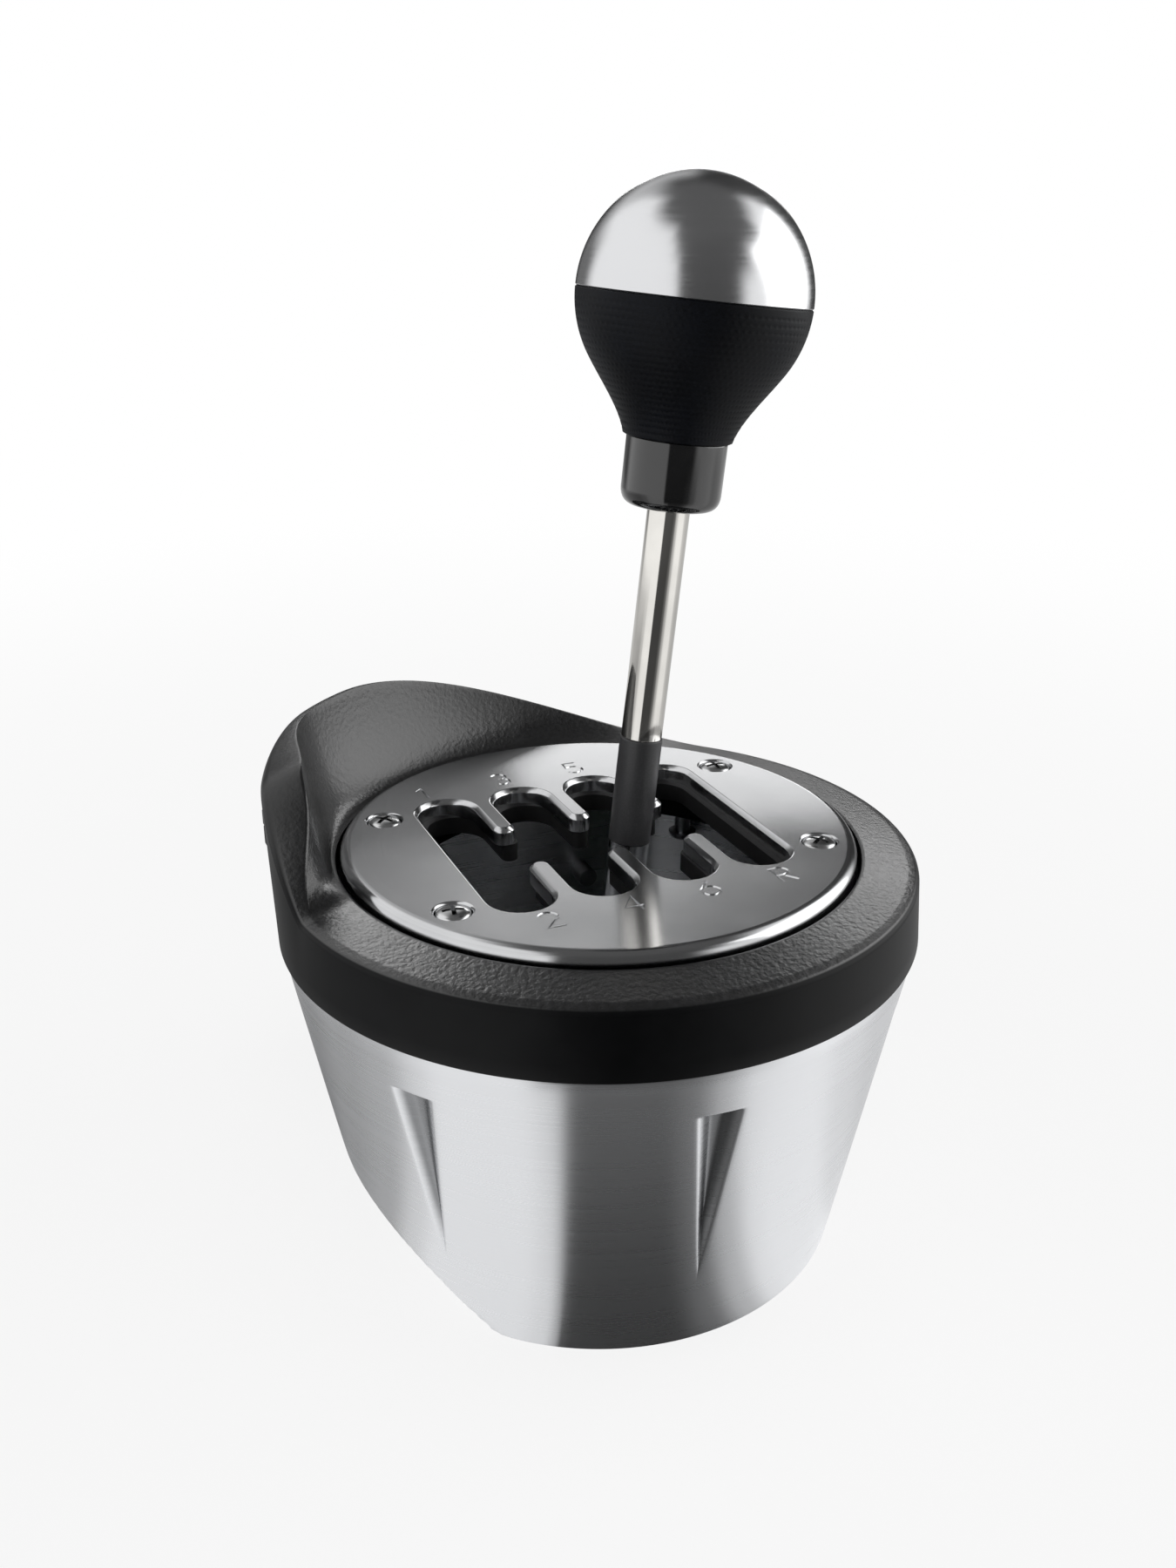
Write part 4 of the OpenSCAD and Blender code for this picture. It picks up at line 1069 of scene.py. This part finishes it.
up, down, backward = (0, 0, 1), (0, 0, -1), (0, 1, 0)
sunk = 0.3  # the flat heads lie this deep
footScrews = {"inset": 7.3, "angles": [60, 120, 240, 300]}
bracketScrews = {"x": 18, "z": (32, 58), "sheet": 4}
bracketFace = bucket["backY"] + bracketScrews["sheet"] - sunk
setScrews("gateScrews", "gate_screws",
          drawScrew("gateScrew", shankR=1.5, headR=3.6, headH=1.8, length=12, recess="cross"),
          around(gate["screwR"], gateAngles, gate["top"] - gate["headDrop"]), [up] * 4, spin=0.7)
setScrews("footScrews", "base_screws",
          drawScrew("footScrew", shankR=2, headR=3.5, headH=2.4, length=10.4, recess="cross", flatHead=True),
          around(bucket["footR"] - footScrews["inset"], footScrews["angles"], sunk), [down] * 4, spin=0.9)
setScrews("bracketScrews", "bracket_screws",
          drawScrew("bracketScrew", shankR=2.5, headR=4.5, headH=2.8, length=12.7, recess="hex", flatHead=True),
          [Vector((side * bracketScrews["x"], bracketFace, z)) * mm for side in (-1, 1) for z in bracketScrews["z"]],
          [backward] * 4, spin=0.4)
print("screws set")


# clamp screws: a plain core with journals and a left-hand thread wound on it
clamp = {"x": 32, "y": 70, "low": 19.2, "high": 67.8, "coreR": 4.1, "lead": 3.0, "threadR": 4.2, "ridge": 0.78,
         "ends": 1, "journalR": 4.0, "journalLow": 10.0, "journalHigh": 71.5}


def clampScrew(side, node, name):
    core, journal, low, high = clamp["coreR"], clamp["journalR"], clamp["low"], clamp["high"]
    foot, head = clamp["journalLow"], clamp["journalHigh"]
    profile = [(0, foot), (journal, foot), (journal, low), (core, low), (core, high), (journal, high), (journal, head),
               (0, head)]
    piece = turned(name, profile, 48)
    span = high - low - 2 * clamp["ends"]
    work = SizedTree(name + "Thread", {
        "Radius": clamp["threadR"] * mm, "Rise": span * mm, "Turns": span / clamp["lead"],
        "Start": (low + clamp["ends"]) * mm, "Ridge": clamp["ridge"] * mm,
    })
    wire = work.wire
    spiral = work.node("GeometryNodeCurveSpiral", {}, {
        "Resolution": 40, "Rotations": wire["Turns"], "Start Radius": wire["Radius"], "End Radius": wire["Radius"],
        "Height": wire["Rise"], "Reverse": True,
    })
    lift = work.node("ShaderNodeCombineXYZ", {}, {"Z": wire["Start"]})
    lifted = work.node("GeometryNodeSetPosition", {}, {"Geometry": spiral, "Offset": lift})
    section = work.node("GeometryNodeCurvePrimitiveCircle", {}, {"Resolution": 6, "Radius": wire["Ridge"]})
    ridge = work.node("GeometryNodeCurveToMesh", {}, {"Curve": lifted, "Profile Curve": section, "Fill Caps": True})
    joined = work.node("GeometryNodeJoinGeometry", {}, {0: wire["Geometry"]})
    work.tree.links.new(ridge.out, joined.out.node.inputs[0])
    work.run(piece, joined, finishes["ground_steel"])
    piece.data.transform(Matrix.Translation((side * clamp["x"] * mm, clamp["y"] * mm, 0)))
    softShade(piece, 45)
    return standFor(piece, node)


clampScrew(-1, "left_clamp_screw", "leftSpindle")
clampScrew(1, "right_clamp_screw", "rightSpindle")
print("clamp screws made")

# camera, as the photograph has it
shot = {"place": (-0.1199, -0.2710, 0.2265), "azimuth": -23.43, "down": 22.31, "lens": 34.096, "sensor": 36,
        "clip": (0.01, 20)}
eye = bpy.data.cameras.new("shotCamera")
eye.lens = shot["lens"]
eye.sensor_width = shot["sensor"]
eye.clip_start, eye.clip_end = shot["clip"]
eyeObject = linked("shotCamera", eye)
eyeObject.location = shot["place"]
eyeObject.rotation_euler = (math.radians(90 - shot["down"]), 0, math.radians(shot["azimuth"]))
bpy.context.scene.camera = eyeObject

# plain pale floor that fades to the white of the backdrop
studio = {"floor": 6.0, "nearWhite": 0.84, "fadeFrom": 0.2, "fadeTo": 0.8, "skySeen": 0.65, "skyLight": 0.35,
          "lampAim": (0, 0, 0.09)}
white = (1, 1, 1, 1)


def floorFinish():
    finish = Finish("paleFloor")
    coords = finish.node("ShaderNodeTexCoord", out="Object")
    away = finish.node("ShaderNodeVectorMath", {"operation": "LENGTH"}, {0: coords}, out="Value")
    speck = finish.noise(finish.place(), 40, detail=2)
    pale = finish.tint((0.85, 0.85, 0.85, 1), (0.88, 0.88, 0.88, 1), speck)
    plain = finish.node("ShaderNodeBsdfDiffuse", {}, {"Color": pale})
    glow = finish.node("ShaderNodeEmission", {}, {"Color": white, "Strength": 1.0})
    share = finish.seenRay() * away.fade(studio["fadeFrom"], studio["fadeTo"], studio["nearWhite"])
    return finish.blend(share, plain, glow)


half = studio["floor"] / 2
corners = [(-half, -half, 0), (half, -half, 0), (half, half, 0), (-half, half, 0)]
ground = newPiece("studioFloor", corners, [[0, 1, 2, 3]])
ground.data.materials.append(floorFinish())

world = bpy.data.worlds.new("studioWorld")
bpy.context.scene.world = world
world.use_nodes = True
sky = Tree(world.node_tree)
world.node_tree.nodes.clear()
bright = sky.seenRay() * studio["skySeen"] + studio["skyLight"]
backdrop = sky.node("ShaderNodeBackground", {}, {"Color": white, "Strength": bright})
sky.node("ShaderNodeOutputWorld", {}, {"Surface": backdrop})


# a soft lamp of an even brightness, so that metal shows it about as white as the backdrop:
# reflections don't show it unless it is glossy, and it lights everything unless it is for one group only
def softbox(name, azimuth, height, distance, size, bright, glossy=True, only=None):
    lamp = bpy.data.lights.new(name, "AREA")
    lamp.shape = "RECTANGLE"
    lamp.size, lamp.size_y = size
    lamp.energy = bright * math.pi * size[0] * size[1]
    box = linked(name, lamp)
    a = math.radians(azimuth)
    box.location = (math.sin(a) * distance, -math.cos(a) * distance, height)
    box.rotation_euler = (Vector(studio["lampAim"]) - box.location).to_track_quat("-Z", "Y").to_euler()
    box.visible_glossy = glossy
    if only:
        box.light_linking.receiver_collection = only


ringGroup = bpy.data.collections.new("ringGroup")
ringGroup.objects.link(ringPiece)
softbox("leftSoftbox", -92, 0.45, 1.0, (0.7, 1.0), 1.5, glossy=False)
softbox("rightSoftbox", 75, 0.45, 1.0, (1.2, 1.1), 1.2)
softbox("backSoftbox", 150.5, 0.39, 1.0, (0.37, 0.2), 2.1)
softbox("topSoftbox", 0, 1.3, 0.05, (0.6, 0.6), 1.6, glossy=False)
softbox("ringLeftSoftbox", 179, 0.74, 1.0, (0.25, 0.32), 5.5, only=ringGroup)
softbox("ringRightSoftbox", 132, 0.6, 1.0, (0.27, 0.32), 4.0, only=ringGroup)

# a dark studio around the object that only shows in reflections: how much of the white it covers at an azimuth,
# on the floor and on the walls
surround = {
    "near": [(-180, 0.8), (-135, 0.9), (-112, 0.72), (-90, 0.58), (-78, 0.2), (-70, 0), (-44, 0), (-35.5, 0.14),
             (-31.5, 1), (-6, 1), (4, 0.9), (13, 0.5), (22, 0.06), (28, 0), (46, 0), (58, 0.2), (80, 0.4), (130, 0.5),
             (180, 0.8)],
    "floor": [(-180, 0.4), (-140, 0.55), (-105, 0.62), (-88, 0.42), (-77, 0.06), (-66, 0), (-44, 0), (-40, 0.98),
              (0, 0.98), (10, 0.9), (24, 0.5), (35, 0.06), (42, 0), (64, 0), (82, 0.4), (100, 0.5), (140, 0.45),
              (180, 0.4)],
    "low": [(-180, 0.88), (-160, 0.88), (-140, 0), (-44, 0), (-40, 0.96), (12, 0.96), (28, 0), (106, 0), (118, 1),
            (170, 1), (180, 0.88)],
    "mid": [(-180, 0.45), (-172, 0.3), (-164, 0), (-46, 0), (-42, 0.95), (26, 0.95), (42, 0), (106, 0), (118, 1),
            (148, 1), (156, 0.5), (180, 0.45)],
    "high": [(-180, 0.6), (-174, 0.5), (-164, 0), (-54, 0), (-48, 0.95), (60, 0.95), (78, 0), (106, 0), (120, 1),
             (166, 1), (174, 0.75), (180, 0.6)],
    "top": [(-180, 0.93), (-172, 0.8), (-160, 0), (-64, 0), (-56, 0.93), (180, 0.93)],
    "lid": [(-180, 0.93), (180, 0.93)],
    # part, radius, height, share of the cover
    "rings": [("near", 0.045, 0.0004, 1), ("near", 0.085, 0.0004, 0.98), ("near", 0.13, 0.0004, 0.86),
              ("floor", 0.3, 0.0004, 1), ("floor", 0.7, 0.0004, 1), ("low", 1.5, 0.0004, 1), ("low", 1.5, 0.55, 1),
              ("mid", 1.5, 1.1, 1), ("high", 1.5, 1.9, 1), ("top", 1.04, 1.95, 1), ("lid", 0.62, 2.0, 1),
              ("lid", 0.002, 2.0, 1)],
    "dark": 0.042, "columns": 180,
}


def coverAt(stops, azimuth):
    for (a, low), (b, high) in zip(stops, stops[1:]):
        if a <= azimuth <= b:
            return mix(low, high, smooth((azimuth - a) / (b - a)))
    return 0.0


def surroundFinish():
    finish = Finish("studioDark")
    dark = finish.node("ShaderNodeEmission", {}, {"Color": white, "Strength": surround["dark"]})
    clear = finish.node("ShaderNodeBsdfTransparent")
    return finish.blend(finish.marked("cover"), clear, dark)


def makeSurround():
    verts, cover = [], []
    for i in range(surround["columns"] + 1):
        azimuth = mix(-180, 180, i / surround["columns"])
        x, y = math.sin(math.radians(azimuth)), -math.cos(math.radians(azimuth))
        for part, r, z, share in surround["rings"]:
            verts.append((x * r, y * r, z))
            cover.append(coverAt(surround[part], azimuth) * share)
    faces = gridFaces(surround["columns"] + 1, len(surround["rings"]), closed=False)
    dark = newPiece("studioSurround", verts, faces)
    mark(dark.data, "cover", cover)
    dark.data.materials.append(surroundFinish())
    dark.visible_camera = dark.visible_diffuse = dark.visible_shadow = False


makeSurround()
bpy.context.scene.view_settings.view_transform = "Standard"
print("scene ready")
